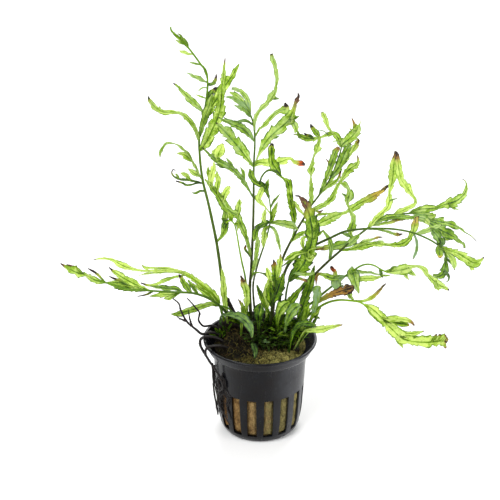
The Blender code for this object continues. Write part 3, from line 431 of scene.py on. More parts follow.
# One margin's teeth, as the share of the width that stays and the push towards the tip. Each tooth rises as
# part^0.8 and drops at its end. Their pitch wanders, their sizes differ, and they fade at the blade's ends.
def marginTeeth(run, s, pitch, depth, start, rng):
    wander = 0.2 * np.sin(run * 0.8 + rng.uniform(0, 6)) + 0.05 * np.sin(run * 2.3 + rng.uniform(0, 6))
    phase = run / pitch + start + wander
    part, rise = phase - np.floor(phase), teeth["rise"]
    sizes = rng.uniform(*teeth["sizes"], teeth["count"]).clip(0)
    size = sizes[np.floor(phase).astype(int) % teeth["count"]]
    size = size * np.clip(s / teeth["footFade"], 0, 1) * np.clip((1 - s) / teeth["tipFade"], 0, 1)
    tooth = np.where(part < rise, (part / rise) ** 0.8, (1 - part) / (1 - rise))
    return 1 - depth * (1 - tooth) * size, (tooth - 0.3) * size


# A leaf blade: middle + side * width * v + normal * (fold * v² + ruffle * |v|^1.6 * wave + thickness),
# its margins pushed forward into teeth. Each side's width is the route's, times what the teeth leave.
# Near the foot the thickness grows to a round stem of the root's radius.
def leafBlade(middle, widths, tilt, look, root, seed):
    rng = np.random.default_rng(seed)
    shape, v, away = leafShape, ringAcross, np.abs(ringAcross)
    s = np.linspace(0, 1, len(middle))[:, None]
    run = s * runAlong(middle)[-1]
    along, side, normal = followLine(middle, sunward, (tilt + rng.uniform(-1, 1) * shape["twist"] * s)[:, 0])
    broad = widths.max()
    lobes = 1 + 0.07 * np.sin(run * 0.7 + rng.uniform(0, 6)) + 0.05 * np.sin(run * 1.9 + rng.uniform(0, 6))
    outline = widths[:, None] * lobes * shape["widen"]
    pitch = teeth["pitch"] + teeth["pitchGrowth"] * broad
    depth = look.get("teeth", teeth["depth"] * min(broad / teeth["fullWidth"], 1) ** 0.5)
    left, leftPush = marginTeeth(run, s, pitch, depth, 0, rng)
    right, rightPush = marginTeeth(run, s, pitch, depth, 0.5, rng)
    width = outline * (1 - (1 - np.where(v < 0, left, right)) * away ** 0.6)
    sweep = np.where(v < 0, leftPush, rightPush) * depth * pitch * teeth["push"] * away ** 3
    sweep = sweep * (outline / broad).clip(0, 1)
    wave = np.where(v < 0, np.sin(run * 1.15 + rng.uniform(0, 6)), np.sin(run + rng.uniform(0, 6)))
    lift = (look.get("fold", shape["fold"]) + rng.uniform(-0.12, 0.2)) * v ** 2 * outline
    lift = lift + look.get("ruffle", shape["ruffle"]) * away ** 1.6 * outline * wave
    lift = lift + shape["quilt"] * outline * np.sin(run * shape["quiltRate"]) * away * (1 - v ** 2)
    flesh = shape["thickness"] * np.sqrt(1 - v ** 2) + shape["edge"]
    rib = shape["midrib"] * np.exp(-(v * outline / shape["midribWidth"]) ** 2)
    flesh = flesh + rib * (1 - shape["ribFade"] * s) * np.where(ringUpper < 0, 1, shape["ribAbove"])
    stem = root * np.clip(1 - run / (shape["stemRun"] + 2 * root), 0, 1) ** 1.5
    stem = stem * np.sqrt(np.maximum(1 - (v * outline / max(root, 0.2)) ** 2, 0.02))
    lift = lift + np.maximum(flesh, stem) * np.clip((1 - s) / 0.03 + 0.25, 0.25, 1) * ringUpper
    grid = (middle[:, None] + side[:, None] * (width * v)[..., None]
            + normal[:, None] * lift[..., None] + along[:, None] * sweep[..., None])
    tone = look["tone"] + rng.uniform(-0.06, 0.06)
    tip, reach = look["tip"] if "tip" in look else ("dark", rng.uniform(0, 0.03))
    return skin(grid[None], leafPlace=sideBySide(grid.shape[:2], run, v, s)[None],
                look=sideBySide(grid.shape[:2], tone, look.get("frost", 0.0), rng.uniform())[None],
                leafTip=sideBySide(grid.shape[:2], *tipColours[tip], reach)[None])


# A plain young leaf along a few real points. Its half width is half * plainWiden * the greater of
# sin(pi * s^0.85)^0.8 and a narrow base.
def plainLeaf(points, spacing, half, tilt, look, root, seed):
    path = smoothRoute(points, spacing)
    s = np.linspace(0, 1, len(path))
    widths = np.maximum(np.sin(np.pi * s ** 0.85).clip(0) ** 0.8, leafShape["baseShare"] * (1 - s))
    widths = widths.clip(leafShape["leastWidth"]) * half * leafShape["plainWiden"]
    return leafBlade(path, widths, tilt, look, root, seed)


# A stalk: a tapered tube with a shallow groove along its upper side and small swellings.
def stalkTube(middle, radii, tone, brown, seed, sides):
    shape, s = stalkShape, np.linspace(0, 1, len(middle))[:, None]
    angle = np.linspace(0, math.tau, sides, endpoint=False)
    groove = 1 - shape["grooveDepth"] * np.exp(-((angle - shape["grooveAngle"]) / shape["grooveWidth"]) ** 2)
    swollen = 1 + shape["swelling"] * lumps(middle, shape["swellingSize"], seed)
    radius = radii[:, None] * groove * swollen[:, None]
    placing = sideBySide(radius.shape, runAlong(middle)[:, None], np.sin(angle), s)
    return tubes(middle[None], radius[None], sides, 1, leafPlace=placing[None],
                 look=sideBySide(radius.shape, tone, brown, seed % 97 / 97)[None],
                 leafTip=np.zeros(radius.shape + (4,))[None])


# Points along each straight stretch of a route, kept as (across, up, back)
def filled(points, perStretch=12):
    t = np.linspace(0, 1, perStretch, endpoint=False)[:, None, None]
    return np.vstack([(points[:-1] + (points[1:] - points[:-1]) * t).reshape(-1, 3), points[-1:]])


# A leaflet's route with its half widths: it starts at the nearest point grown so far, and leans back by
# lean * (share of its run)^1.3.
def leafletRoute(grown, picture, lean):
    picture = np.array(picture, float)
    start = grown[np.hypot(grown[:, 0] - picture[0, 0], grown[:, 1] - picture[0, 1]).argmin()]
    flat = np.vstack([start[:2], picture[1:, :2]])
    run = runAlong(flat)
    back = start[2] + lean * (run / run[-1]) ** 1.3
    path = smoothRoute(np.column_stack([flat, back, picture[:, 2]]), leafShape["spacing"])
    return path[:, :3], path[:, 3].clip(leafShape["leastWidth"])


# How far a leaf is turned about its midrib: a swing that differs from one leaf to the next
def tiltOf(index):
    return leafShape["tilt"] * math.sin(leafShape["tiltStep"] * index)


# A whole frond: its stalk, and each leaflet grown from the stalk or from an earlier leaflet. The stalk's
# taper gives shares of its length, and the share of its radius that is left at each.
def growFrond(name, plan, seed):
    route = smoothRoute([seen(plan["foot"]), *plan["stalk"]], stalkShape["spacing"])
    radii = plan["radius"] * np.interp(np.linspace(0, 1, len(route)), *stalkShape["taper"])
    skins = [stalkTube(fanned(route), radii, plan["tone"], plan["brown"], seed, stalkShape["sides"])]
    grown, root = filled(route[::4]), plan["radius"] * stalkShape["rootShare"]
    for index, (lean, tone, picture, *own) in enumerate(plan["leaflets"]):
        path, widths = leafletRoute(grown, picture, lean)
        grown = np.vstack([grown, filled(path[::6])])
        look = {"tone": tone, "frost": plan["frost"], **dict(*own)}
        skins.append(leafBlade(fanned(path), widths, tiltOf(index), look, root, seed + index))
    makePiece("fern_" + name, skins, leafMaterials, ["frond_" + name])


# A small leaf on a foot of its own. Its plan is its foot's real place, its tone, its (across, up, back,
# half width) points and any looks of its own. Its kind gives the rest.
def simpleLeaf(plan, kind, tilt, number):
    foot, tone, picture, *own = plan
    path = smoothRoute([(*seen(foot), kind["footHalf"]), *picture], leafShape["spacing"])
    widths = path[:, 3].clip(leafShape["leastWidth"])
    look = {"tone": tone, "frost": kind["frost"], **dict(*own)}
    return leafBlade(fanned(path[:, :3]), widths, tilt, look, kind["root"], kind["seed"] + number)


# Each frond: its foot's real place, its stalk's radius there, how bright (tone), how grey (frost) and how
# brown its stalk is, its stalk's route, then its leaflets: lean, tone, (across, up, half width) points and
# own looks. A tip is the colour that it withers to and how much of the leaf does.
tallLeft = {
    "foot": (-13, 12.4, 44), "radius": .95, "tone": .66, "frost": .12, "brown": .45,
    "stalk": [(-15.4, 14, 13.5), (-17.1, 28, 14.5), (-19, 41, 16), (-21, 51, 18), (-23, 60, 20),
        (-24.8, 67, 21.5), (-25.8, 73, 22.5), (-26.4, 79, 24), (-26.7, 87, 26), (-25.6, 94, 28),
        (-24.2, 100, 29.5), (-23.3, 106, 30.5), (-23, 111, 31), (-23.5, 116, 31), (-26.2, 119.8, 31.5),
        (-28.2, 122.6, 31.5), (-30.3, 125.4, 32), (-32.3, 127.8, 32), (-35.2, 130.9, 32), (-38, 133.4, 31.5),
        (-39.1, 134.9, 31), (-39.2, 136, 31)],
    "leaflets": [
        (-4, .32, [(-25.3, 67.3, .3), (-27.6, 67.4, .4), (-30, 66.7, .4), (-32.4, 66.6, .45),
         (-34.2, 67.5, .5), (-37, 68.4, .2)], {"tip": ("black", .15)}),
        (3, .28, [(-25.3, 67.7, .3), (-28.8, 68.3, .5), (-32.2, 68.9, .5), (-35.6, 69.3, .45),
         (-37.8, 70.5, .4), (-38.6, 72, .35), (-38.1, 73.3, .3), (-37, 72.9, .15)], {"tip": ("black", .2)}),
        (-8, .6, [(-25.3, 68.5, .3), (-26.8, 71.5, .6), (-28.6, 75, .7), (-30.3, 78, .8), (-31.8, 80.4, .9),
         (-33.6, 82.1, .9), (-36, 84, .7), (-38.5, 85, .6), (-41, 84.7, .9), (-42.8, 83, 1), (-43.6, 81, .8),
         (-43.9, 78.7, .15)], {"frost": .25}),
        (0, .82, [(-29.8, 77.4, .5), (-32, 79, 1.3), (-34.2, 80.2, .9), (-36.5, 80.6, .1)]),
        (0, .85, [(-26.6, 70.2, .4), (-28.5, 71.4, 1.1), (-30.1, 72.7, .8), (-31.6, 73.9, .1)]),
        (-8, .68, [(-26.9, 85.5, .3), (-28, 90, .9), (-29.8, 93.5, 1.1), (-32.4, 96.2, 1.1), (-35, 98, .9),
         (-37.6, 98.6, .8), (-40, 98.4, 1.2), (-42.6, 98.6, 1.3), (-45, 99.9, 1.4), (-47.2, 101.9, 1.2),
         (-48.5, 103.7, .8), (-49, 105.6, .15)], {"frost": .25, "tip": ("dark", .05)}),
        (6, .7, [(-25, 98.5, .3), (-26.8, 100.8, 1), (-28.8, 102.6, 1.4), (-31, 104.7, 1.3),
         (-33.6, 107.3, .9), (-36, 109.8, .6), (-38.1, 111.5, .15)], {"frost": .3, "tip": ("dark", .06)}),
        (4, .62, [(-23.4, 111.4, .3), (-25.5, 112.4, 1), (-28, 113.6, 1.2), (-30.2, 114.9, .7),
         (-32.4, 115.9, .1)], {"frost": .5}),
        (2, .45, [(-23, 110.6, .6), (-21.4, 110.6, 1), (-20, 111.5, .9), (-19.3, 113.3, .6),
         (-19.2, 115.5, .1)], {"tip": ("purple", .4)}),
        (1, .5, [(-22.9, 104, .5), (-21.8, 106, 1.2), (-20.5, 107.8, 1.1), (-19.1, 109.6, .4)],
         {"tip": ("black", .3)}),
        (2, .78, [(-29.4, 123.8, .4), (-31.4, 124, .8), (-33.6, 124.7, .8), (-35.4, 125.6, .15)]),
        (7, .6, [(-26.1, 89, .4), (-24.9, 93.5, 1.3), (-23.1, 97.8, 1.9), (-21, 101.2, 2.3),
         (-18.8, 104.4, 2.3), (-16.8, 107.7, 2.1), (-14.8, 110.8, 1.8), (-12.8, 113.7, 1.5),
         (-11, 116.5, 1.1), (-9.1, 119.9, .15)], {"frost": 0}),
        (-9, .64, [(-26, 81.6, .5), (-23.6, 85.4, 1.9), (-21.2, 90.4, 2.3), (-18.9, 95.2, 2.3),
         (-17.8, 99.2, 2.2), (-17.2, 103, 1.8), (-16.9, 107, 1.5), (-16.5, 111, 1.2), (-16.1, 115, .9),
         (-15.7, 119, .5), (-15.3, 122.7, .1)], {"frost": .1, "tip": ("purple", .07)}),
        (0, .8, [(-24.8, 84, .3), (-23.9, 86.8, 1.3), (-23.2, 89.7, 1.1), (-23, 91.8, .2)]),
        (3, .5, [(-26.4, 87.5, .5), (-25.3, 92, 1.3), (-24, 96.5, 1.7), (-22.4, 101, 1.6), (-21.6, 104.4, 1),
         (-20.6, 106.8, .2)]),
        (2, .55, [(-18.4, 41.5, .3), (-16.2, 45.2, 1), (-15.5, 49.4, 1.4), (-15.3, 53.6, 1.1),
         (-15.6, 57, .3)]),
        (-2, .35, [(-24, 63.8, .3), (-26.2, 64, .45), (-28.2, 63, .45), (-29.9, 63.3, .15)]),
        (0, .76, [(-30.4, 68.7, .3), (-31.7, 70.2, .8), (-33.4, 71.4, .8), (-35, 72, .1)]),
        (0, .6, [(-35.4, 69.7, .3), (-36.4, 70.8, .5), (-37.3, 71.6, .1)]),
        (0, .66, [(-26.4, 118.7, .3), (-28.4, 119.9, .45), (-31, 120.5, .1)], {"frost": .5}),
        (2, .7, [(-32.6, 127.7, .4), (-34.6, 128.9, .8), (-37.2, 130.3, .1)]),
        (0, .36, [(-30.6, 125.8, .2), (-33, 128.3, .5), (-35.4, 130.8, .6), (-37.6, 132.8, .5),
         (-38.9, 134.4, .4), (-39.3, 136, .2)], {"fold": .5}),
        (0, .45, [(-31.6, 126.6, .2), (-32, 128.8, .5), (-33.6, 130.8, .5), (-35.2, 132, .15)]),
        (0, .55, [(-33.6, 129.6, .4), (-34.8, 131.8, .5), (-36.2, 133.2, .1)]),
        (0, .8, [(-24.4, 104.6, .2), (-26, 105.5, .4), (-28.3, 106.3, .1)], {"frost": .3}),
        (0, .8, [(-23.6, 109.2, .2), (-25.3, 109.1, .4), (-27.2, 107.7, .1)], {"frost": .4}),
        (0, .42, [(-25.4, 119.5, .3), (-24.2, 117.4, .5), (-23.2, 114, .4), (-22.9, 111.5, .3)]),
    ],
}
centre = {
    "foot": (-3.8, 10.2, 43), "radius": .85, "tone": .55, "frost": .3, "brown": .62,
    "stalk": [(-4.5, 20, 9), (-3.9, 30, 9), (-3.4, 40, 9.5), (-3, 50, 10), (-2.8, 60, 11), (-2.8, 68, 12),
        (-2.7, 76, 13), (-2.3, 84, 14), (-2.4, 90, 15), (-3.2, 94.6, 16), (-4.4, 97.8, 17), (-6, 101.8, 18),
        (-8.4, 105.4, 19), (-11.4, 107.6, 19)],
    "leaflets": [
        (-5, .56, [(-3.6, 33.5, .4), (-4.7, 38.4, .6), (-5.9, 43, .8), (-7.2, 46.6, 1.1), (-8.6, 49.8, 1.2),
         (-9.8, 52.8, 1.3), (-12.4, 54.6, 1.5), (-14.8, 56.4, 1.6), (-16.6, 59, 1.6), (-18.2, 61.6, 1.4),
         (-20.1, 64.2, 1.1), (-22, 66.7, .8), (-24.2, 69.2, .3)], {"frost": .2}),
        (2, .78, [(-10, 53.4, .8), (-9.4, 56, 1.5), (-9, 58.3, 1.1), (-8.9, 60.5, .2)], {"frost": .1}),
        (0, .88, [(-16.4, 59, .8), (-15.7, 62.3, 1.5), (-14.6, 64.3, 1.3), (-13.2, 66.1, .3)], {"frost": .1}),
        (0, .74, [(-19, 62.6, .7), (-18.6, 66, 1.3), (-18.3, 69.2, 1), (-18.8, 71.7, .6), (-18.9, 73, .1)],
         {"frost": 0}),
        (0, .85, [(-21.2, 65.6, .5), (-21.5, 69.5, 1.1), (-20.8, 72.5, 1.4), (-20.3, 75, .8),
         (-20.1, 77.2, .1)], {"frost": 0}),
        (1, .82, [(-21.8, 67.5, .4), (-22.5, 71.5, .9), (-22.8, 75, .1)], {"frost": 0}),
        (-3, .5, [(-3.1, 61, .3), (-5, 64.6, .5), (-7, 68, .9), (-9.4, 71, 1.1), (-12.2, 73.8, 1.2),
         (-15.2, 75.6, 1.3), (-18.2, 77.2, 1.2), (-20.9, 79.1, .9), (-23.2, 81.1, .5), (-25.2, 83, .3)],
         {"frost": .35}),
        (0, .62, [(-6.8, 68.2, .4), (-7.4, 71.5, .9), (-8.7, 74.6, .1)]),
        (0, .62, [(-11.2, 73.2, .5), (-13, 76, .7), (-14.9, 78.7, .1)]),
        (0, .55, [(-13.4, 74.4, .6), (-16.6, 74.8, .8), (-19.7, 75.9, .1)]),
        (-1, .95, [(-18.5, 77.4, .6), (-18.3, 80, 1.7), (-17.2, 82.6, 1.6), (-16.3, 84.9, .4)], {"frost": 0}),
        (0, .9, [(-19, 78, .5), (-20.1, 80.3, 1), (-20, 82.4, .2)], {"frost": 0}),
        (3, .72, [(-2.9, 74.4, .3), (-4.3, 76.5, 1), (-6.5, 79.3, 1.9), (-9.2, 82.8, 2.5), (-11.9, 86, 2.7),
         (-14.4, 88.8, 2.5), (-16.8, 91.3, 1.8), (-18.4, 93, .9), (-19.2, 94, .1)],
         {"frost": .35, "teeth": .5}),
        (-6, .52, [(-2.5, 85.3, .3), (-4, 87.7, .9), (-6, 89.9, 1.5), (-8.5, 91.6, 1.8), (-11.3, 92.8, 1.5),
         (-14, 94, 1.1), (-16.6, 95.3, .6), (-18.2, 96.3, .1)], {"frost": .35}),
        (0, .4, [(-3, 92.8, .3), (-5.6, 94.6, .6), (-7.8, 94.9, .7), (-9.8, 94.2, .6), (-12.2, 94.5, .6),
         (-14.8, 95.6, .4), (-16, 96.4, .1)], {"frost": .4}),
        (-3, .62, [(-3.9, 96.2, .3), (-5.8, 98.2, 1.1), (-7.8, 99.7, 1.2), (-9.8, 100.8, .8),
         (-11.4, 101.7, .1)], {"frost": .5}),
        (-3, .6, [(-4.4, 97.6, .3), (-5.6, 99.9, .6), (-7.8, 101.8, .8), (-10.2, 103.6, .8),
         (-12.8, 105.1, .6), (-15.8, 105.3, .1)], {"frost": .55}),
        (4, .76, [(-4.4, 97.4, .3), (-4.9, 101.4, .9), (-5.9, 104.6, 1), (-7.6, 106.9, .9), (-9.8, 108.3, .8),
         (-12.4, 109, .4)], {"frost": .65}),
        (1, .72, [(-5, 99.4, .5), (-7, 102.4, 1), (-9.2, 104.8, 1), (-11.4, 106.4, .9), (-13.4, 107.4, .3)],
         {"frost": .6}),
        (6, .72, [(-2.5, 89.5, .3), (-2.2, 94.5, .7), (-1.1, 97.6, .9), (.8, 100, 1.1), (3.2, 102.3, 1.3),
         (5.1, 104.5, 1.6), (6.6, 107.4, 1.3), (7.3, 110.5, .6), (7.6, 114, .8), (7.2, 117, .9),
         (6.4, 120, .9), (5.5, 122.4, .9), (4.9, 124.2, .6)], {"frost": .4}),
        (-3, .66, [(-2.3, 87.6, .25), (-.4, 91, .5), (1.8, 93, .9), (3.8, 95, .8), (5.7, 97.1, .8),
         (7.7, 98.7, .9), (9.5, 99.4, 1.2), (11, 99.8, 1.6), (11.3, 101.4, .9), (10.9, 102.8, .3)],
         {"tip": ("black", .1)}),
        (5, .68, [(-2.7, 74.8, .25), (-1.2, 78.4, .4), (.5, 81.8, .8), (2.2, 84.8, 1.6), (4.3, 87.7, 2),
         (7.2, 90.2, 2.3), (10, 92.6, 2.4), (12.6, 95.2, 2.3), (14.1, 98, 1.4), (15.1, 101, .8),
         (16.2, 103.5, .9), (16.9, 105.5, .5), (16.6, 107.4, .1)], {"frost": .25, "tip": ("purple", .2)}),
        (6, .82, [(-2.7, 74.6, .3), (-.8, 76.2, 1.3), (1.6, 76.2, 2), (4, 76.2, 1.7), (6.5, 76.1, 1.2),
         (9, 76.7, 1.9), (11.3, 77.7, 1.3), (13.2, 78, .7), (15, 76.7, 1), (17, 76, 1.2), (18.7, 75.8, 1.1),
         (19.8, 75.8, .4)], {"frost": 0, "tip": ("orange", .17)}),
        (-2, .74, [(-4, 26, .3), (-2.6, 31, .8), (-1.7, 35.3, .9), (-1.3, 39.5, 1), (-1.1, 42.5, .8),
         (-1.2, 45, .1)]),
        (0, .55, [(5.4, 104.6, .8), (6.9, 104.6, .8), (8.6, 104.3, .1)], {"frost": .3}),
        (0, .55, [(13, 95.3, 1), (15, 96, .9), (17.2, 96.7, .15)], {"frost": .3}),
        (-1, .8, [(12.4, 94.2, .8), (14.6, 93.6, 1.3), (15.7, 91.6, .9), (15.3, 89.4, .2)]),
        (0, .55, [(5, 87.8, .5), (6.6, 87.5, .8), (8.6, 88.3, .1)]),
        (0, .4, [(-3.9, 34.5, .3), (-5.5, 36.8, .5), (-6.6, 38.5, .6), (-6.3, 40.5, .1)],
         {"tip": ("brown", .3)}),
    ],
}
bent = {
    "foot": (-6.2, 11.4, 43.4), "radius": .7, "tone": .78, "frost": 0, "brown": .15,
    "stalk": [(-5.6, 16, 3), (-6.5, 26, 0), (-8, 33, -2), (-9.3, 40, -4), (-10.3, 46, -5), (-11.3, 49.5, -6),
        (-13, 51, -7), (-15, 50, -8)],
    "leaflets": [
        (-1, .45, [(-14.3, 50.5, .7), (-15, 48.6, 1.3), (-15, 46.4, .2)]),
        (0, .7, [(-12.5, 51, .5), (-13, 53, 1.1), (-14.2, 54.8, .2)]),
        (0, .4, [(-13.5, 51, .5), (-15.6, 51, 1.2), (-17, 52, .2)]),
        (0, .78, [(-11.2, 49.3, .4), (-9.9, 49.6, .8), (-9.8, 46.6, .1)]),
    ],
}
inner = {
    "foot": (-1, 9.1, 42.4), "radius": .65, "tone": .62, "frost": .05, "brown": .7,
    "stalk": [(-2.6, 14, 0), (-3, 23, -3), (-1.5, 30, -5), (0, 35, -7), (1.7, 40, -8.5), (3.2, 45, -10),
        (4.4, 50, -11), (4.6, 54, -12), (4.3, 59, -13), (3.4, 63, -14)],
    "leaflets": [
        (-1, .4, [(3.9, 61, .3), (3.2, 63.6, .9), (1.8, 65.6, 1.3), (-.4, 67, 1.3), (-2.3, 68.3, 1.2),
         (-3.7, 70.2, 1.1), (-4.1, 72.3, .9), (-4.6, 73.8, .2)]),
        (-4, .85, [(4.3, 54, .2), (2.2, 57, .35), (.3, 58.9, .7), (-.4, 60.6, 1.3), (.2, 62.8, 1.4),
         (.9, 64.7, 1), (.3, 66.2, .2)]),
        (2, .4, [(4.9, 56.8, .3), (6.1, 59.6, .45), (7.6, 61.5, .35), (8.7, 62.8, .1)], {"frost": .3}),
        (-2, .52, [(4.4, 50, .4), (5.7, 53.3, 1.2), (6.7, 56.2, .9), (7.8, 59.1, .15)]),
        (3, .74, [(4.6, 50, .3), (6.8, 50.1, 1), (9, 49.8, 1.3), (11.5, 49.3, 1.4), (13.8, 48.9, 1.3),
         (15.6, 47.8, .7), (16.8, 46.8, .1)], {"frost": .5}),
        (-3, .33, [(4.4, 50.2, .4), (2.8, 50, 1.2), (.6, 48.9, 1.2), (-1.3, 47.2, 1.2), (-2.2, 44.8, .9),
         (-2.6, 42, .2)]),
        (4, .82, [(2.6, 49.6, .3), (1.7, 52, .9), (2, 54.4, .7), (2.4, 56.3, .1)]),
        (-2, .55, [(4.4, 48.6, .3), (6.1, 47.4, .6), (7.3, 45, .7), (8.3, 41, .6), (9.2, 36.8, .1)],
         {"frost": .3}),
        (-5, .25, [(.4, 68, .3), (1.1, 70.8, .4), (3, 72.7, .45), (5.6, 73.1, .5), (7.8, 72.2, .4),
         (9.2, 70.6, .2)]),
        (0, .5, [(2.6, 64.6, .6), (3.2, 66.9, .9), (3.6, 69.4, .15)]),
        (2, .7, [(3.6, 49.2, .3), (2.4, 47, 1.1), (2, 44, 1.4), (1.6, 41.2, .9), (1.3, 39, .1)]),
    ],
}
rightCentre = {
    "foot": (4.5, 7.3, 42), "radius": .85, "tone": .58, "frost": .15, "brown": .75,
    "stalk": [(6.5, 18, 8), (8.6, 29, 8), (10.2, 35, 8), (13, 41, 9), (16.2, 47, 10), (19, 51.7, 11),
        (22, 57, 12), (25.8, 62, 13), (29.4, 67, 14), (32, 72, 14.6), (33.7, 76.5, 15.5), (35.2, 81, 16),
        (35.9, 84.2, 16.5)],
    "leaflets": [
        (-9, .5, [(13, 41, .25), (14.6, 45, .3), (15.1, 49.3, .4), (14.8, 52.5, 1.1), (14.3, 55.2, 1.4),
         (13.7, 58.2, 1.3), (13.1, 61.5, 1.2), (12.8, 64.8, 1.2), (12.2, 67.8, 1.3), (10.4, 69.2, .6),
         (9, 70.6, .6), (7.8, 72.6, 1.2), (6.2, 75, 2), (5.1, 77.5, 1.4), (5, 80, 1.1), (5.1, 82.7, 1.3),
         (5.3, 85, .5)], {"frost": 0}),
        (2, .78, [(13.3, 61, .3), (15, 58.4, .9), (17, 55.8, 1), (19.4, 53, .5)]),
        (-4, .7, [(21.9, 56.4, .25), (22.2, 59.5, 1), (22.3, 62.5, 1.1), (22.3, 66, 1), (22.3, 68.8, .7),
         (22.3, 70.6, .4), (22.3, 73, 1.4), (22.9, 76, 1), (23.4, 78.7, .35), (24.3, 80.6, .7),
         (25.1, 83, 1.7), (25.7, 85.4, 1.1), (26, 87.6, .4), (26.1, 88.6, .2)], {"frost": .2}),
        (3, .56, [(26, 62.4, .4), (28, 67, .9), (29.6, 70.8, 1.2), (31, 74.6, 1.4), (32, 78, 1.5),
         (33.2, 81, 1.4), (34.6, 83.3, .6)], {"tip": ("brown", .08)}),
        (-2, .52, [(31, 70, .5), (33.6, 73, 1.4), (35.3, 76, 1.7), (36.7, 79.5, 1.7), (38.1, 82.5, 1.4),
         (39.6, 85, .6)], {"frost": .3}),
        (0, .3, [(30.9, 75, .5), (29.9, 76.8, .4), (28.9, 78.1, .1)], {"tip": ("brown", .5)}),
        (6, .64, [(35.6, 83.4, .5), (35.1, 85.2, 1.2), (34, 87.6, 1.3), (32.2, 89.2, .8), (30, 88.8, .8),
         (27.6, 87.9, .5), (25.8, 87.2, .4), (24.4, 87, .8), (22.4, 86.7, 1.1), (20, 87.1, 1.2),
         (18, 87.8, 1), (16.4, 88.6, .5), (14.6, 88.9, .1)]),
        (0, .7, [(18.2, 87.9, .6), (16.6, 89.4, .6), (15.8, 91.8, .3)]),
        (1, .4, [(23.8, 87.3, .4), (21.8, 88.1, .7), (20.2, 88.7, .45), (19.2, 89.5, .15)],
         {"tip": ("black", .4)}),
        (2, .72, [(25.9, 87.4, .3), (25.2, 88.8, .9), (24.3, 90, 1), (23.2, 91.3, .8), (22.4, 92.6, .5),
         (22.2, 93.6, .1)], {"tip": ("black", .35)}),
        (-1, .4, [(30, 88.8, .25), (28, 90.2, .3), (25.6, 90.8, .1)], {"frost": .5}),
        (0, .86, [(32.3, 89.4, .35), (30.6, 91, .5), (29.5, 93.2, .8), (28.8, 95.5, 1), (28, 97.4, 1.1),
         (27.3, 98.8, .5)], {"frost": .2}),
        (-1, .66, [(35.4, 83.4, .7), (37, 85.2, 1.6), (39.2, 86.9, 2.1), (41.2, 88.8, 2.2), (42.5, 90.8, 1.7),
         (43.1, 92.3, .8), (43.9, 93.8, .25), (43.8, 95.5, .1)], {"frost": .2, "tip": ("tan", .08)}),
        (0, .7, [(42.2, 90.4, 1), (41.7, 92.4, .9), (41, 94.2, .6), (40.2, 96, .15)], {"tip": ("brown", .6)}),
        (0, .85, [(41.2, 90, .4), (39.9, 90.8, .4), (39.3, 91.7, .1)]),
        (0, .7, [(34.6, 86.2, .4), (33.2, 85.9, .45), (31.7, 85.8, .1)]),
        (5, .7, [(26.3, 62.6, .3), (29.6, 66.5, .6), (32.5, 70.5, .7), (34.8, 74.3, .8), (37.6, 77.4, .9),
         (40, 80.8, .7), (41.8, 83.5, 1.1), (42.9, 85.7, .8), (43, 87, .2)], {"tip": ("tan", .1)}),
        (-3, .62, [(26.2, 62.2, .2), (28.6, 64.9, .6), (31, 66.7, .9), (33, 67.9, .8), (34.6, 69.9, .6),
         (35.4, 72.8, .3)], {"tip": ("brown", .2)}),
        (-4, .68, [(21.4, 54.4, .3), (24, 56, .9), (26.6, 57.4, 1), (29.2, 58.8, 1.1), (31.3, 60.8, 1.2),
         (32.7, 63.4, 1), (33.9, 66.2, .7), (35.5, 68.6, .6), (36.8, 70.6, 1.1), (38.2, 72.6, 1.5),
         (40, 74.2, 1.6), (41.8, 75.3, 1.3), (42.9, 77, .8), (42.8, 78.5, .5), (42.4, 79.9, .1)],
         {"tip": ("brown", .06)}),
        (0, .5, [(24, 54.2, .4), (26, 54.8, .5), (27.8, 55.9, .1)], {"tip": ("brown", .6)}),
        (9, .74, [(19.1, 50.4, .4), (22.5, 49.3, .7), (25.5, 49.7, 1.1), (28, 50.7, 1.7), (30.6, 51.9, 2.1),
         (33.2, 53.2, 1.4), (35.6, 53.9, .8), (38, 54.8, .7), (40, 56.2, 1.2), (42.4, 57.7, 1.4),
         (45, 59.3, 1.4), (47.5, 60.5, 1.5), (50, 61.8, 1.3), (52.4, 63.4, .9), (54.4, 65, .8),
         (56.4, 66.6, .3)], {"tip": ("amber", .26)}),
        (1, .6, [(22, 51.4, .3), (25.4, 53.4, .6), (29, 53.9, .5), (32, 54.6, .1)]),
        (0, .6, [(13, 41, .3), (16, 43.7, .9), (18.6, 45.3, .9), (20.4, 46.7, .2)]),
    ],
}
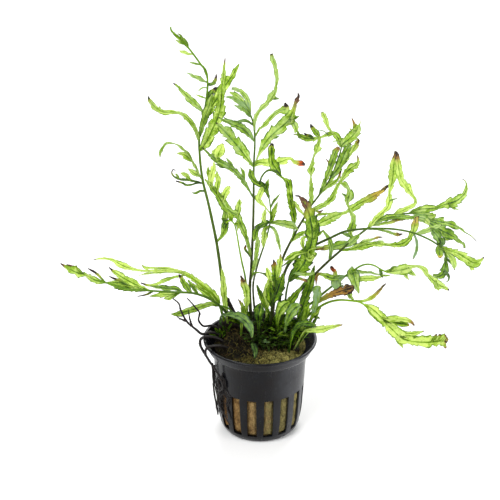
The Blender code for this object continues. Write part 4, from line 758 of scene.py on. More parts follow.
broad = {
    "foot": (6.5, 3, 41.9), "radius": .8, "tone": .5, "frost": .05, "brown": .3,
    "stalk": [(10.4, 11, -3), (11.6, 20, -6.5), (13.2, 26, -9.5), (16.5, 30.5, -12)],
    "leaflets": [
        (-5, .5, [(12.4, 24.5, .6), (14.4, 26.6, 1.4), (17.2, 29.4, 2.8), (19.6, 32.8, 3.1), (21.4, 37, 2.8),
         (22.4, 41, 2.2), (22.8, 44.6, 2.3), (22.5, 49.3, 2.5), (21.6, 53.8, 2.2), (20.2, 57.2, 2),
         (18.6, 59.6, 1.3), (17.4, 61.2, .5), (16.9, 62.2, .1)], {"tip": ("purple", .2)}),
        (-2, .6, [(18.6, 35.5, .8), (21, 38, 1.4), (24, 39.2, .8), (28, 39.6, .3)]),
        (-3, .72, [(20, 35, .9), (22, 34.3, 1.2), (23.8, 35.8, .5)]),
        (1, .68, [(18.6, 38.3, .6), (16, 36.7, 1), (13.4, 35, 1), (10.6, 33.6, .3)]),
        (0, .35, [(18, 36, .4), (15.6, 34.5, .5), (12.6, 32.9, .5), (9.6, 30.9, .2)]),
        (-2, .62, [(15, 28, .5), (18.4, 27.6, .8), (21.6, 27.6, .7), (24.2, 28.2, .2)], {"frost": .4}),
        (-3, .5, [(13.6, 26.6, .4), (16.4, 25.8, .9), (19, 25, .9), (20.8, 24.2, .2)],
         {"tip": ("brown", .4)}),
        (0, .5, [(18.8, 59.2, .5), (17.3, 61.5, .4), (15.4, 62, .25)], {"tip": ("purple", .9)}),
        (0, .5, [(19.8, 58.2, .6), (19.2, 60.3, .4), (18.8, 61.6, .1)], {"tip": ("purple", .8)}),
        (0, .42, [(22.6, 46, .6), (24.6, 49.5, .8), (24.6, 53, .2)]),
        (1, .75, [(21.8, 44, .5), (19.4, 43.6, .9), (18.6, 40.8, .8), (19.4, 38, .2)]),
        (-1, .55, [(24, 42.5, .4), (26, 45, .8), (27.4, 46.6, .3)]),
        (-2, .46, [(10.6, 12, .6), (12.6, 14.6, 1.5), (14.8, 17.6, 1.3), (17.2, 20.6, .7), (19.6, 23.6, .5),
         (21.2, 25.6, .2)]),
    ],
}
rightLong = {
    "foot": (10.6, 4.7, 41.4), "radius": .9, "tone": .6, "frost": .3, "brown": .85,
    "stalk": [(14.6, 15.9, 5.5), (20, 22.9, 6.5), (25, 28.4, 7), (30, 33.2, 8), (35, 37.6, 9), (40, 42, 10),
        (46, 46.8, 11), (51, 50.4, 12), (56, 53, 13), (62, 53.9, 14), (67, 54.3, 14.5)],
    "leaflets": [
        (3, .55, [(30.4, 33.6, .3), (31, 36.5, .7), (31.3, 39, .9), (30.6, 41.8, .9), (29.2, 44.4, .7),
         (27.4, 46.8, .4)]),
        (3, .64, [(39.4, 41.8, .4), (36.6, 40.7, 1.3), (33.8, 40, 1.7), (31, 39.6, 1.3), (28.4, 39.1, .9),
         (24.4, 38.2, .3)], {"tip": ("tan", .3)}),
        (-5, .6, [(35.6, 37.8, .3), (39.7, 38.5, .8), (43.1, 39.6, 1.5), (46.5, 40.4, 1.4), (50, 40.8, 1.1),
         (53.4, 40.7, .8), (56.8, 40.4, .6), (59.7, 40.5, 1.1), (62.9, 41.3, 1.4), (65.2, 43.1, 1.2),
         (66.5, 45.3, 1.1), (67.4, 48, 1.5), (68, 50.3, 1.7), (68.3, 52.8, 1.2)],
         {"frost": .1, "tip": ("tan", .09)}),
        (0, .82, [(42.4, 39.9, .5), (45.6, 41.5, .9), (48.6, 42.5, .7), (50.8, 43.1, .1)]),
        (0, .6, [(37, 39.4, .4), (39.3, 40.9, 1.2), (41.6, 42.9, 1.3), (43.8, 45.2, .3)]),
        (0, .85, [(49, 42.8, .3), (51.5, 43.6, .45), (54, 43.8, .1)], {"tip": ("tan", .9)}),
        (0, .75, [(50.4, 41.1, .5), (52.4, 41.9, .5), (54.6, 42, .1)]),
        (-9, .64, [(40.8, 43.2, .3), (39.6, 45.5, 1.1), (40.2, 48.2, 1.5), (40.8, 51, 1.4), (40, 53.8, 1),
         (39, 56.2, .7), (38.3, 58.4, .7), (38.6, 60.6, 1.5), (39, 62.9, 1.7), (38.2, 65.1, 1.3),
         (37, 66.6, 1.2), (35.6, 67.4, .9), (34.4, 68.2, .3)]),
        (0, .55, [(38.6, 61.4, .5), (37, 62.2, .45), (35.7, 63.1, .1)]),
        (1, .5, [(40.6, 43.6, .4), (38.6, 44.7, .8), (35.6, 45.5, .1)]),
        (3, .84, [(47.2, 47.9, .3), (49.6, 50.4, 1.1), (52, 53, 1.1), (54.4, 55.2, .8), (56, 57, 1.2),
         (56.7, 59.6, 1.5), (56.8, 61.6, 1.2), (56.8, 63.2, .7), (57.3, 65.6, 1), (57.9, 68.2, 1.8),
         (58.3, 71.2, 2.2), (58.5, 74.2, 2), (58.8, 77, 1.6), (59.3, 79.4, 1.1), (59.4, 81.6, .4)],
         {"frost": .1, "tip": ("brown", .1)}),
        (0, .5, [(57.8, 59.6, .5), (59, 60.4, .35), (60.4, 60.8, .1)]),
        (-3, .82, [(58.5, 53.9, .3), (61.5, 54.9, 1.2), (64.6, 56.3, 1), (67.2, 57.8, .7), (68.2, 59.7, .7),
         (67, 61.7, 1), (65.3, 64.2, 1.6), (63.2, 66.9, 1.9), (61.6, 69.6, 1.6), (61, 72.5, 1.4),
         (60.6, 75.5, 1.3), (60.2, 78.4, 1.1), (59.7, 81.2, .4)], {"frost": .1, "tip": ("brown", .12)}),
        (1, .5, [(48.4, 48.6, .4), (52, 50.8, .9), (55.5, 52.2, 1.2), (59, 52.7, 1.1), (62.5, 52.6, 1),
         (66, 52.3, .9), (69.5, 52.5, 1.1), (72.5, 51.7, 1.2), (74.4, 49.6, .7), (75.2, 47.8, .2)],
         {"frost": .4}),
        (0, .82, [(49.2, 48.6, .3), (53, 49.4, .8), (57, 50.3, .9), (60.5, 51.2, .8), (63.8, 51.5, .2)],
         {"tip": ("tan", .4)}),
        (6, .62, [(65.4, 54.1, .3), (68.4, 55.5, 1), (71.5, 56.2, 1.5), (74.6, 56.3, 1.3), (77.6, 56.7, .9),
         (80.2, 57.8, 1.3), (83, 58.6, 2.1), (86, 59.7, 2.1), (88.2, 61.3, 1.6), (89.9, 63.5, 1),
         (90.6, 66, .7), (90, 68.3, .4), (88.6, 69.2, .1)], {"frost": .2}),
        (0, .78, [(83.4, 57.4, .8), (85.3, 56.3, .7), (87.3, 55.9, .1)]),
        (2, .74, [(67.2, 54, .4), (69.8, 53.8, 1.6), (72.4, 53.4, 2), (74.8, 53.1, 1.6), (77.2, 53.4, .5)],
         {"frost": .3}),
        (0, .78, [(67.4, 52.6, .8), (70.4, 51.8, 1.2), (73, 50.8, 1), (75, 48.6, .3)]),
        (-2, .54, [(72.5, 52.9, .6), (76, 51.2, 1.7), (79.4, 50.4, 2.4), (82.6, 49.6, 2.3), (85.4, 48.7, 1.8),
         (87.6, 47.5, 1), (89.8, 46, .45), (92.4, 44.4, .35), (95.2, 41.8, .15)], {"tip": ("dark", .12)}),
        (-6, .48, [(73.6, 50.6, .6), (77, 48.2, 1.9), (80.3, 46.3, 2.3), (83.2, 44.9, 1.9), (85.4, 43.7, 1.2),
         (87.4, 41.9, .7), (89.3, 40.8, .5), (89.8, 38.9, .4)], {"frost": .3}),
        (-1, .85, [(79.2, 45.2, .8), (81.6, 43.3, 1), (84.2, 42.8, .2)]),
    ],
}
rightFront = {
    "foot": (8, 5.7, 41.7), "radius": .88, "tone": .55, "frost": .35, "brown": .5,
    "stalk": [(9, 20, 0), (12, 31, -2), (18, 36.9, -4), (24.5, 40.5, -6), (30.5, 43.3, -8), (37, 46.2, -11),
        (44, 47.3, -14), (51, 47.6, -16), (58, 47.4, -18), (65, 46.3, -20), (70, 44.7, -21),
        (75.3, 42.2, -22), (79.5, 39.4, -23)],
    "leaflets": [
        (1, .76, [(68.4, 45.4, .3), (71, 46.1, .8), (74, 47, 1), (77.4, 48.4, .8), (79.6, 49.2, .2)]),
        (0, .55, [(46, 47.4, .3), (52, 47, .4), (55.5, 46.3, .45), (58, 45.4, .7), (60.5, 44.9, .7),
         (62.6, 45.2, .15)], {"tip": ("tan", .2)}),
        (-2, .5, [(67.3, 45.5, .3), (68.7, 42, .5), (68.8, 38.7, .5), (68, 36.2, .5), (67.1, 34.2, .2)],
         {"frost": .7}),
        (-3, .42, [(80, 38.8, .6), (79.2, 41.6, 1.6), (77.8, 44.1, 1.5), (76, 46.2, 1.3), (74.8, 48, .3)]),
        (-3, .6, [(79.4, 40.4, .6), (78.5, 38.2, 1.4), (78.8, 36.1, 1.1), (79, 34.6, .4)],
         {"tip": ("yellow", .2)}),
        (-3, .7, [(79.4, 39.3, .5), (82.4, 38.1, 1.1), (85.4, 37.2, 1.3), (88, 36.1, 1.6), (90.7, 34.3, 1.5),
         (92.8, 33, 1.9), (94.8, 32.7, 1.6), (96.5, 33.6, .8), (98.2, 35.1, .15)], {"frost": .1}),
        (0, .85, [(91.8, 32, 1.1), (93, 30.4, 1.1), (94, 29.4, .3)], {"frost": 0}),
        (0, .8, [(86.8, 36.2, .6), (88.4, 34.2, .6), (90.2, 32.8, .1)]),
        (-5, .72, [(80.6, 38.2, .4), (82.6, 36.3, .9), (84.2, 34.4, 1.1), (85, 31.9, .9), (85.4, 29.4, .15)]),
        (-9, .42, [(79.8, 39.2, .5), (81.3, 36.2, .6), (81.4, 33.5, .7), (81.2, 31.2, 1.4), (80.7, 29.2, 1.6),
         (79.9, 27.5, 1.3), (78.3, 26.7, .9), (75.8, 27.3, .3)], {"frost": .3}),
        (-2, .42, [(81.4, 28.6, .7), (82.7, 26.9, .5), (82.7, 25, .3), (81.7, 24.2, .15)]),
        (-1, .4, [(81.4, 34.8, .4), (82.6, 33.3, .5), (84, 31.8, .15)]),
    ],
}
rightArching = {
    "foot": (14.6, 2.6, 41.1), "radius": .8, "tone": .68, "frost": .2, "brown": .35,
    "stalk": [(19, 11.2, -3), (23.5, 15.6, -4), (27.5, 19, -5), (32.3, 22.8, -6), (36.4, 26, -7.4),
        (41, 29.2, -8.7), (44.2, 31.2, -9.5), (47.2, 31.9, -10), (50.2, 31.3, -10.8), (53.4, 29.4, -11.5),
        (56, 28.3, -12)],
    "leaflets": [
        (8, .74, [(54.8, 28.8, .3), (57.4, 28.7, 1.1), (60, 29, 1.7), (62.8, 29.5, 2), (65.2, 30.2, 1.4),
         (67.4, 30.9, .6), (69.8, 30.8, .6), (71.8, 29.5, 1), (73.2, 27.7, .9), (74.7, 26, 1),
         (76.6, 24.3, 1.4), (78.9, 22.7, 1.3), (81.1, 21.7, .9), (83, 20.4, .15)]),
        (1, .82, [(62.2, 28.8, .9), (64, 27, .9), (65.3, 25, .2)]),
        (1, .7, [(64.4, 29.2, 1), (66.6, 28, .7), (68.4, 26.9, .1)]),
        (0, .6, [(56.8, 28.8, .5), (58.3, 30.3, .5), (60, 31.2, .1)]),
        (0, .8, [(76, 24, .9), (77.3, 22, .8), (78.6, 20.4, .15)]),
        (-5, .7, [(39.4, 30.6, 1), (40.2, 29.2, 2), (41, 27, 2), (41.7, 24.4, 1.6), (42.4, 21.8, 1.1),
         (43.4, 19, .2)], {"frost": .5, "teeth": .1}),
        (4, .66, [(40.5, 28.4, .6), (44, 28.4, .9), (48, 28.1, .9), (51.6, 27.5, .5), (53.4, 26.8, .1)],
         {"frost": .4}),
        (-4, .8, [(38.4, 25.8, .3), (42.4, 25.6, 1), (46, 25.6, 1.1), (50, 25.8, .9), (53.4, 26.5, .3)]),
        (-3, .62, [(37.4, 26.6, .4), (34.8, 25.7, 1.4), (33.6, 24, 2), (34, 21.8, 1.5), (34.8, 19.6, .3)],
         {"frost": .6, "teeth": .1}),
        (-2, .6, [(34.6, 25.3, .7), (31.4, 25.9, 1.2), (28.6, 26.9, 1), (26.2, 27.4, .3)]),
        (0, .3, [(30.4, 26.9, .5), (27.4, 27.6, .6), (25, 26.6, .7), (24.6, 22.8, .2)],
         {"tip": ("brown", .6)}),
        (-2, .35, [(52.4, 30, .4), (52.9, 28.2, .8), (53.8, 26, .2)]),
        (-3, .5, [(26.4, 15, .4), (29.8, 17.4, .7), (33.2, 20, .9), (36.6, 22.6, .4)]),
        (-2, .7, [(53.6, 27.2, .3), (55.4, 26.9, .4), (57.2, 27, .1)]),
        (2, .8, [(35.4, 25.6, .25), (33.6, 26.7, .5), (32.9, 28.3, .9), (31.9, 29.9, .9), (31, 31.1, .4)],
         {"tip": ("orange", .5)}),
    ],
}
rightLow = {
    "foot": (11.8, -2.8, 41.6), "radius": .88, "tone": .78, "frost": .05, "brown": .25,
    "stalk": [(20, 8, -8), (25, 12.4, -10), (30, 15.2, -12), (35, 16.2, -14), (40, 15.9, -16),
        (43.6, 15.3, -18), (47, 13.4, -20)],
    "leaflets": [
        (-12, .83, [(45.6, 14, .5), (49.3, 12.1, 1.5), (52.8, 9, 1.8), (55.6, 5.5, 2), (58.8, 2.4, 2.3),
         (62, -.4, 2.3), (65.4, -1.7, 1.8), (69, -2.2, 1.9), (72.4, -2.4, 2.2), (75.6, -2.2, 2.3),
         (78.6, -1.8, 2.4), (80.8, -1.9, 2), (82.2, -2.2, 1.1)], {"tip": ("tan", .03)}),
        (0, .8, [(77.6, -1, .8), (78.8, .5, .5), (79.2, 1.3, .15)], {"tip": ("brown", .3)}),
        (0, .8, [(75.4, -.6, .7), (76.9, .5, .5), (77.5, 1.5, .15)], {"tip": ("brown", .3)}),
        (0, .8, [(80, -.8, .7), (81.3, .3, .4), (81.6, .9, .1)], {"tip": ("brown", .3)}),
        (0, .8, [(80, -3, .8), (81.2, -4.2, .5), (81.5, -5, .15)], {"tip": ("brown", .3)}),
        (-1, .85, [(60, .6, 1), (61.4, -2, 1), (62.6, -4.8, .15)]),
        (0, .42, [(61.8, .8, .4), (66.4, -.1, .5), (71.4, -.1, .5), (75.2, .6, .15)]),
        (1, .76, [(55.2, 6, .5), (58.6, 4.2, 1), (61.6, 2.3, 1), (64.6, 1.5, .9), (68, 1.7, .8),
         (71.8, 2.6, .3)]),
        (1, .72, [(52.6, 8.4, .5), (56.4, 7.9, 1.1), (60, 7.9, 1.2), (63.6, 7.5, 1), (66.1, 6.7, .6),
         (67.7, 5, .25)], {"tip": ("brown", .2)}),
        (2, .5, [(54.2, 7.2, .5), (57.6, 6.6, 1), (60.8, 5.9, 1.2), (63.4, 5.6, 1), (65.4, 5.2, .3)],
         {"tip": ("tan", .08)}),
        (2, .7, [(41, 16, .4), (45.1, 15.8, .5), (48, 16.7, .7), (50.4, 18.5, .8), (52.5, 20.6, .6),
         (54, 22.4, .4), (55.3, 23.5, .15)], {"tip": ("tan", .5)}),
        (-2, .6, [(46.6, 13.4, .6), (48.4, 11, 1.1), (51, 8.2, 1), (53.6, 5.6, .3)]),
    ],
}
leftLow = {
    "foot": (-10.4, 12.3, 44), "radius": .8, "tone": .62, "frost": .12, "brown": .25,
    "stalk": [(-16, 12, 5), (-20.5, 15.8, 2), (-25, 18, 0), (-30, 19.3, -3), (-36, 19.6, -6), (-44, 20, -9),
        (-52, 20.6, -12), (-58, 21, -14), (-64, 22.8, -16), (-68.5, 24, -17.5), (-73, 25.3, -19)],
    "leaflets": [
        (-2, .5, [(-30, 19.4, .4), (-32, 21.6, 1.2), (-33.8, 24.2, 1.1), (-35, 26.4, .6), (-35.7, 27.5, .15)],
         {"tip": ("black", .2)}),
        (-1, .5, [(-27, 19, .3), (-29.2, 21.6, .8), (-30.9, 24.2, .6), (-31.6, 25.2, .1)]),
        (2, .42, [(-33.6, 19.7, .3), (-37, 21, 1.1), (-40.5, 21.3, 1.3), (-44, 21.6, 1), (-48.2, 22.3, .15)]),
        (-2, .68, [(-35, 19.2, .4), (-38.5, 18.6, 1.3), (-42, 18.5, 1.3), (-45, 18.2, .8),
         (-48.6, 17.8, .1)]),
        (0, .4, [(-46.6, 19.8, .3), (-50, 18.5, .4), (-53.8, 17.8, .2)], {"tip": ("black", .6)}),
        (3, .72, [(-48.6, 20.4, .3), (-52, 21.8, .9), (-55, 23.1, 1.4), (-58.2, 24.9, 1.6),
         (-61.2, 26.6, 1.4), (-63.5, 28.3, .9), (-65.2, 29.5, .4), (-66.3, 30.6, .15)],
         {"tip": ("black", .13)}),
        (-3, .52, [(-50, 20.4, .4), (-54, 20.9, 1), (-57.5, 21.3, 1.3), (-60.5, 21.9, 1.4), (-63, 22.7, 1.2),
         (-65.2, 23.3, .7), (-68, 24, .3)]),
        (0, .66, [(-55.4, 21.4, .5), (-59, 22.9, 1.1), (-62, 23.8, 1.1), (-64.8, 24, .7), (-67.2, 24, .15)]),
        (1, .4, [(-58.2, 23.4, .4), (-61.5, 24.9, .5), (-63.8, 25.5, .4), (-66.2, 26.7, .15)],
         {"tip": ("black", .5)}),
        (2, .62, [(-68, 24, .3), (-70.8, 27, .5), (-73, 28.7, .45), (-75.6, 30.1, .15)],
         {"tip": ("black", .6)}),
        (-4, .66, [(-66.8, 23.7, .3), (-69.6, 24, .8), (-72, 24.6, 1.6), (-74, 25.6, 1.4), (-75.6, 26.6, 1.1),
         (-77.6, 27.5, 1.5), (-80, 28.1, 2.1), (-82.1, 29, 2), (-84.3, 30, 1.3), (-86.3, 31.3, .6),
         (-87.5, 32.3, .2)], {"tip": ("purple", .1)}),
        (1, .6, [(-77.4, 28, .6), (-80.5, 29.9, .8), (-82.6, 30.9, .5), (-84.8, 31.9, .15)],
         {"tip": ("purple", .5)}),
        (-4, .6, [(-36, 19.2, .3), (-38.6, 17.5, .8), (-40.4, 16.7, .8), (-42.2, 16.7, .2)]),
    ],
}
leftPale = {
    "foot": (-15.4, 11.8, 43.8), "radius": .75, "tone": .82, "frost": .05, "brown": .2,
    "stalk": [(-18, 14.4, 11.5), (-20.8, 18.6, 11), (-23.8, 21, 11), (-27, 23.8, 11.3), (-31, 26.4, 11.8),
        (-34.5, 27.8, 12.4), (-38, 28.4, 13)],
    "leaflets": [
        (2, .82, [(-17.6, 14.6, .7), (-19.9, 18.2, 1.4), (-23, 20.9, 1.4), (-25.9, 23.2, 1.3),
         (-28.9, 25.3, 1.2), (-32, 27.4, 1), (-35.4, 28.7, .7), (-40, 29.8, .6), (-44, 30.2, .55),
         (-47.5, 30.2, .45), (-50.4, 30.4, .55), (-51.8, 31.6, .2)]),
        (-3, .88, [(-33, 28, .4), (-38, 28.8, .6), (-43, 29.1, .7), (-48, 29, .5), (-53, 29.2, .45),
         (-56.5, 30, .8), (-59.5, 31, 1.2), (-62, 32.2, 1.1), (-64.3, 33.6, .7), (-67, 34.3, .45),
         (-70, 34.4, .4), (-73.2, 33.8, .1)]),
        (0, .8, [(-36, 28.6, .3), (-41, 28.4, .7), (-46, 28, .7), (-50, 27.6, .6), (-53.4, 26.9, .1)]),
        (1, .6, [(-17.5, 14, .4), (-19.8, 15.8, .9), (-22.4, 17.8, 1), (-26, 20.8, .9), (-29.6, 23.4, .2)]),
        (-2, .72, [(-32.4, 27.2, .2), (-36, 26.5, .5), (-39.5, 25.5, .7), (-42.5, 24.4, .8),
         (-45.4, 23.1, .7), (-48.5, 22.5, .55), (-52.4, 23.7, .2)], {"tip": ("black", .13)}),
    ],
}
leftStrap = {
    "foot": (-8.2, 12, 43.8), "radius": .7, "tone": .66, "frost": 0, "brown": .1,
    "stalk": [(-13, 11.8, 8), (-16.5, 13.5, 7), (-20, 14.2, 5)],
    "leaflets": [
        (-6, .66, [(-18, 13.9, .5), (-21.5, 14.4, 1), (-25, 13.5, 1.1), (-29, 12.2, 1.2), (-33, 10.9, 1.2),
         (-36, 10, 1), (-39, 10, .2)], {"teeth": .12, "frost": .15}),
    ],
}
youngBrown = {
    "foot": (4.8, 5.1, 42), "radius": .7, "tone": .45, "frost": 0, "brown": .5,
    "stalk": [(5, 12, -5), (6.6, 20, -8), (7.6, 26, -10)],
    "leaflets": [
        (0, .45, [(6.7, 22, .5), (6.4, 27, 1), (6.2, 31, 1.1), (5.9, 34, .2)], {"tip": ("brown", .3)}),
        (-3, .85, [(7.4, 25, .4), (8.2, 29.5, 1.2), (8.9, 33, 1.2), (9.2, 36.4, .2)], {"tip": ("tan", .15)}),
        (-5, .3, [(6.6, 17.5, .7), (5.8, 21.5, 1.5), (4.6, 25, 1.1), (2.4, 27.3, .6), (-.4, 28.2, .45),
         (-2.8, 27.7, .4), (-3.8, 25, .15)]),
        (-6, .85, [(5.4, 21, .4), (4.6, 25, .9), (3.6, 28, 1), (2.8, 30.4, .4)]),
        (-4, .3, [(6, 14.5, .8), (7.2, 19, 2.2), (8.4, 22.6, 2.3), (9.6, 25.7, 1.1), (10.6, 28.4, .2)]),
        (-5, .32, [(5, 13.5, .6), (4.3, 19, 1.8), (4.7, 24.5, .3)]),
        (-3, .34, [(3.8, 9.5, .5), (1.6, 14.5, .8), (.2, 18.6, .9), (-1.4, 22.8, .3)]),
    ],
}
fronds = {
    "tall_left": tallLeft, "centre": centre, "bent": bent, "inner": inner, "right_centre": rightCentre,
    "broad": broad, "right_long": rightLong, "right_front": rightFront, "right_arching": rightArching,
    "right_low": rightLow, "left_low": leftLow, "left_pale": leftPale, "left_strap": leftStrap,
    "young_brown": youngBrown,
}
for number, (frondName, plan) in enumerate(fronds.items()):
    growFrond(frondName, plan, 100 * (number + 1))

# Each small leaf is one blade on a short stalk: its foot's real place, its tone, its (across, up, back,
# half width) points, and its own looks.
smallLeaf = {"frost": 0.1, "footHalf": 0.35, "root": 0.5, "seed": 3000}
smallLeaves = {
    "left_upright": ((-14.2, 11, 43.6), .8, [(-14.9, 10, 9, .6), (-15.3, 14.5, 9, 1), (-15.8, 19.5, 9.2, 1.2),
        (-16.1, 24.4, 9.5, 1.1), (-16.5, 28, 9.5, .6), (-16.9, 30.2, 9.5, .1)]),
    "brown_tip": ((-8.4, 11.2, 43.4), .76, [(-6.5, 10, 2, .5), (-5.8, 14.5, -.5, 1.1), (-5.8, 18.4, -2, 1.4),
        (-6.6, 22.2, -3, 1.5), (-7.7, 25.2, -3.8, .8), (-8.4, 27, -4, .3)], {"tip": ("brown", .12)}),
    "small_pointed": ((-8.5, 3, 40), .62, [(-8.2, 5, 1, .6), (-7.6, 9, .4, 1.3), (-7.8, 12.8, -.4, 1.3),
        (-8.8, 15, -.8, .7), (-9.7, 16.6, -1, .2)], {"tip": ("tan", .12)}),
    "over_front": ((-17.4, 10.8, 43.2), .26, [(-17.1, 8.6, 6.5, .6), (-15, 9.7, 2.8, .9), (-12, 9.6, -1, 1.3),
        (-8.5, 8.5, -5, 1.7), (-5.5, 5.8, -9, 1.6), (-3.9, 2.8, -11.2, 1), (-3.5, -.7, -12, .2)],
        {"frost": .28, "teeth": .1}),
    "rounded": ((-.5, 2, 40), .3, [(-.6, 6, -1, .8), (-.6, 9.5, -3, 1.9), (0, 12.6, -3.7, 1.9),
        (.4, 14.8, -4, .5)], {"teeth": .12}),
    "yellow_broad": ((8.3, .7, 41.8), .5, [(7.6, 7, -6, .8), (8.6, 11.5, -8, 2), (10.6, 14.2, -8.7, 2.1),
        (13, 15.4, -9, .5)]),
    "pale_broad": ((10, -1, 41.7), .52, [(11.8, 6.5, -10, .8), (13.8, 10.6, -12.6, 2.2),
        (15.8, 12.8, -13.6, 1.8), (18.4, 14, -14, .4)], {"frost": .4, "teeth": .1}),
    "bright_inner": ((1.7, 8.3, 42.2), 1, [(3, 11, 5, .5), (3.2, 15.5, 4.4, 1.3), (3.1, 19.5, 4, 1.7),
        (3.5, 23, 4, 1.2), (4, 26, 4, .2)]),
    "dark_upright": ((12.8, 4, 41.2), .42, [(17.3, 9, 3.4, .9), (19, 14, 3.3, 1.6), (20.6, 18.7, 3.2, 1.9),
        (22, 23.3, 3.1, 1.8), (23.1, 27.4, 3, 1.2), (24, 31.4, 3, .2)]),
    "grey_right": ((15.8, -6.4, 41.4), .5, [(22.4, 8, -13, .5), (24, 13, -14.6, 1), (25, 17.2, -15.6, 1.4),
        (25.6, 20.4, -16, 1.9), (26.6, 22, -16, .6)], {"frost": .7, "teeth": .1}),
    "brown_right": ((13.8, -4.7, 41.5), .5, [(22, 12, -12, .4), (26.5, 16.2, -13.6, .8),
        (31, 18.6, -14.7, 1.3), (34.5, 19.8, -15.5, 1.7), (37.4, 20.8, -16, 1.8), (39.6, 21.6, -16.8, 1.7),
        (41, 22.6, -17, .5)], {"tip": ("brown", .4)}),
    "dark_right": ((12, -6.8, 39.8), .25, [(14.4, 2, -11, .8), (17.5, 5.4, -14, 1.9), (21, 5.8, -16, 1.9),
        (24.8, 4.4, -18, .3)]),
    "yellow_right": ((14.4, -6.4, 40.4), .85, [(19, 2, -12.5, .3), (21.8, 2.9, -15.6, .9),
        (25, 3.1, -18.8, 1.2), (28.4, 3.7, -20.6, 1.2), (31.8, 4.5, -22.4, .8), (36.2, 5.4, -25, .2)],
        {"tip": ("tan", .08)}),
}
for number, (leafName, plan) in enumerate(smallLeaves.items()):
    blade = simpleLeaf(plan, smallLeaf, tiltOf(number), number)
    makePiece("fern_leaf_" + leafName, [blade], leafMaterials, ["leaf_" + leafName])
print("fronds and small leaves done")

# Pot: its rows of (radius, height) run from the middle of the foot, up the outside, over the lip, and down
# the inside. The lip's are counted from the rim's edge. Blend is the radius where the columns start to turn
# from the foot's slots to the wall's, and how much further out they arrive.
pot = {
    "height": 44.0, "rimRadius": 25.0, "wall": 1.0, "floor": 1.4, "rowsPerSlot": 13, "columnsPerSlot": 12,
    "wallFoot": (18.4, 3.4), "wallTop": (20.6, 38.8), "turnIn": 1.6, "turnHeight": 11.0,
    "slots": 16, "slotWidth": 4.1, "slotLow": 3.4, "slotHigh": 22.5, "slotPhase": math.radians(-11.2),
    "footSlots": 6, "footSlotWidth": 2.4, "footSlotInner": 6.0, "footSlotColumn": 9, "footSlotHalf": 2,
    "footRadii": (2.5, 6.0, 8.3, 10.7, 13.0), "blend": (13.0, 3.0), "bands": (24.5, 27.0, 30.0, 33.0, 36.0),
    "slotInner": 15.0, "thickenBelow": 4.2, "thicken": 0.35,
    "outerTurn": [(14.2, 0.0), (15.1, 0.1), (15.9, 0.45), (16.6, 1.15), (17.2, 2.2)],
    "flare": [(20.58, 37.5), (20.7, 37.95), (21.2, 38.3), (22.0, 38.65), (22.5, 39.0), (22.85, 39.5),
              (23.1, 40.1), (23.35, 40.8), (23.6, 41.5), (23.8, 42.1), (23.95, 42.55)],
    "lip": [(-0.75, -1.18), (-0.3, -1.14), (-0.06, -0.92), (0, -0.6), (-0.06, -0.26), (-0.28, -0.04),
            (-0.6, 0), (-1.05, -0.03), (-1.3, -0.25), (-1.5, -0.7)],
    "innerCollar": [(22.6, 42.1), (22.2, 41.3), (21.8, 40.5), (21.4, 39.7), (21.0, 38.9), (19.7, 38.0)],
    "innerTurn": [(15.7, 2.3), (15.1, 1.6), (14.4, 1.4)],
    "bevel": 0.14, "bevelSegments": 2, "bevelAngle": math.radians(50), "sharp": 38,
}


# The pot's wall radius at a height: straight from its foot to the collar, drawn in by
# turnIn * (1 - z / turnHeight)² near the foot.
def wallRadius(z):
    (lowRadius, low), (highRadius, high) = pot["wallFoot"], pot["wallTop"]
    drawn = pot["turnIn"] * np.clip(1 - z / pot["turnHeight"], 0, 1) ** 2
    return lowRadius + (highRadius - lowRadius) * (z - low) / (high - low) - drawn


# Points of a lathe: (radius * sin a, -radius * cos a, height)
def lathe(radius, angle, height):
    shape = np.broadcast(radius, angle, height).shape
    return sideBySide(shape, radius * np.sin(angle), -radius * np.cos(angle), height)


# Quads that close a window between an outer and an inner band of rows, for the columns from left to right:
# its two sides, then its low and its high edge.
def windowEdges(numbers, outer, inner, left, right):
    window = numbers.take(np.arange(left, right + 1), axis=1, mode="wrap")
    quads = []
    for side, order in ((window[:, 0], [0, 2, 3, 1]), (window[:, -1], [0, 1, 3, 2])):
        corners = [side[outer[:-1]], side[outer[1:]], side[inner[:-1]], side[inner[1:]]]
        quads.append(np.stack(corners, axis=1)[:, order])
    for end, order in ((0, [0, 1, 3, 2]), (-1, [1, 0, 2, 3])):
        out, back = window[outer[end]], window[inner[end]]
        quads.append(np.stack([out[:-1], out[1:], back[:-1], back[1:]], axis=1)[:, order])
    return quads


# The pot's rows, and the numbers of its outer and inner rows beside the slots
def potRows():
    foot, bands = np.array(pot["footRadii"]), np.array(pot["bands"])
    slotHeights = np.linspace(pot["slotLow"], pot["slotHigh"], pot["rowsPerSlot"])
    thickened = pot["wall"] + pot["thicken"] * np.maximum(0, pot["thickenBelow"] - slotHeights)
    inner = wallRadius(slotHeights) - thickened
    outside = np.vstack([
        sideBySide(foot.shape, foot, 0), pot["outerTurn"],
        np.column_stack([wallRadius(slotHeights), slotHeights]),
        np.column_stack([wallRadius(bands), bands]), pot["flare"]])
    lip = np.array(pot["lip"]) + (pot["rimRadius"], pot["height"])
    inside = np.vstack([
        pot["innerCollar"], np.column_stack([wallRadius(bands) - pot["wall"], bands])[::-1],
        np.column_stack([inner, slotHeights])[::-1], pot["innerTurn"],
        sideBySide(foot.shape, foot[::-1], pot["floor"])])
    beside = np.arange(len(slotHeights))
    outerRows = len(foot) + len(pot["outerTurn"]) + beside
    innerRows = len(outside) + len(lip) + len(pot["innerCollar"]) + len(bands) + beside[::-1]
    return np.vstack([outside, lip, inside]), outerRows, innerRows


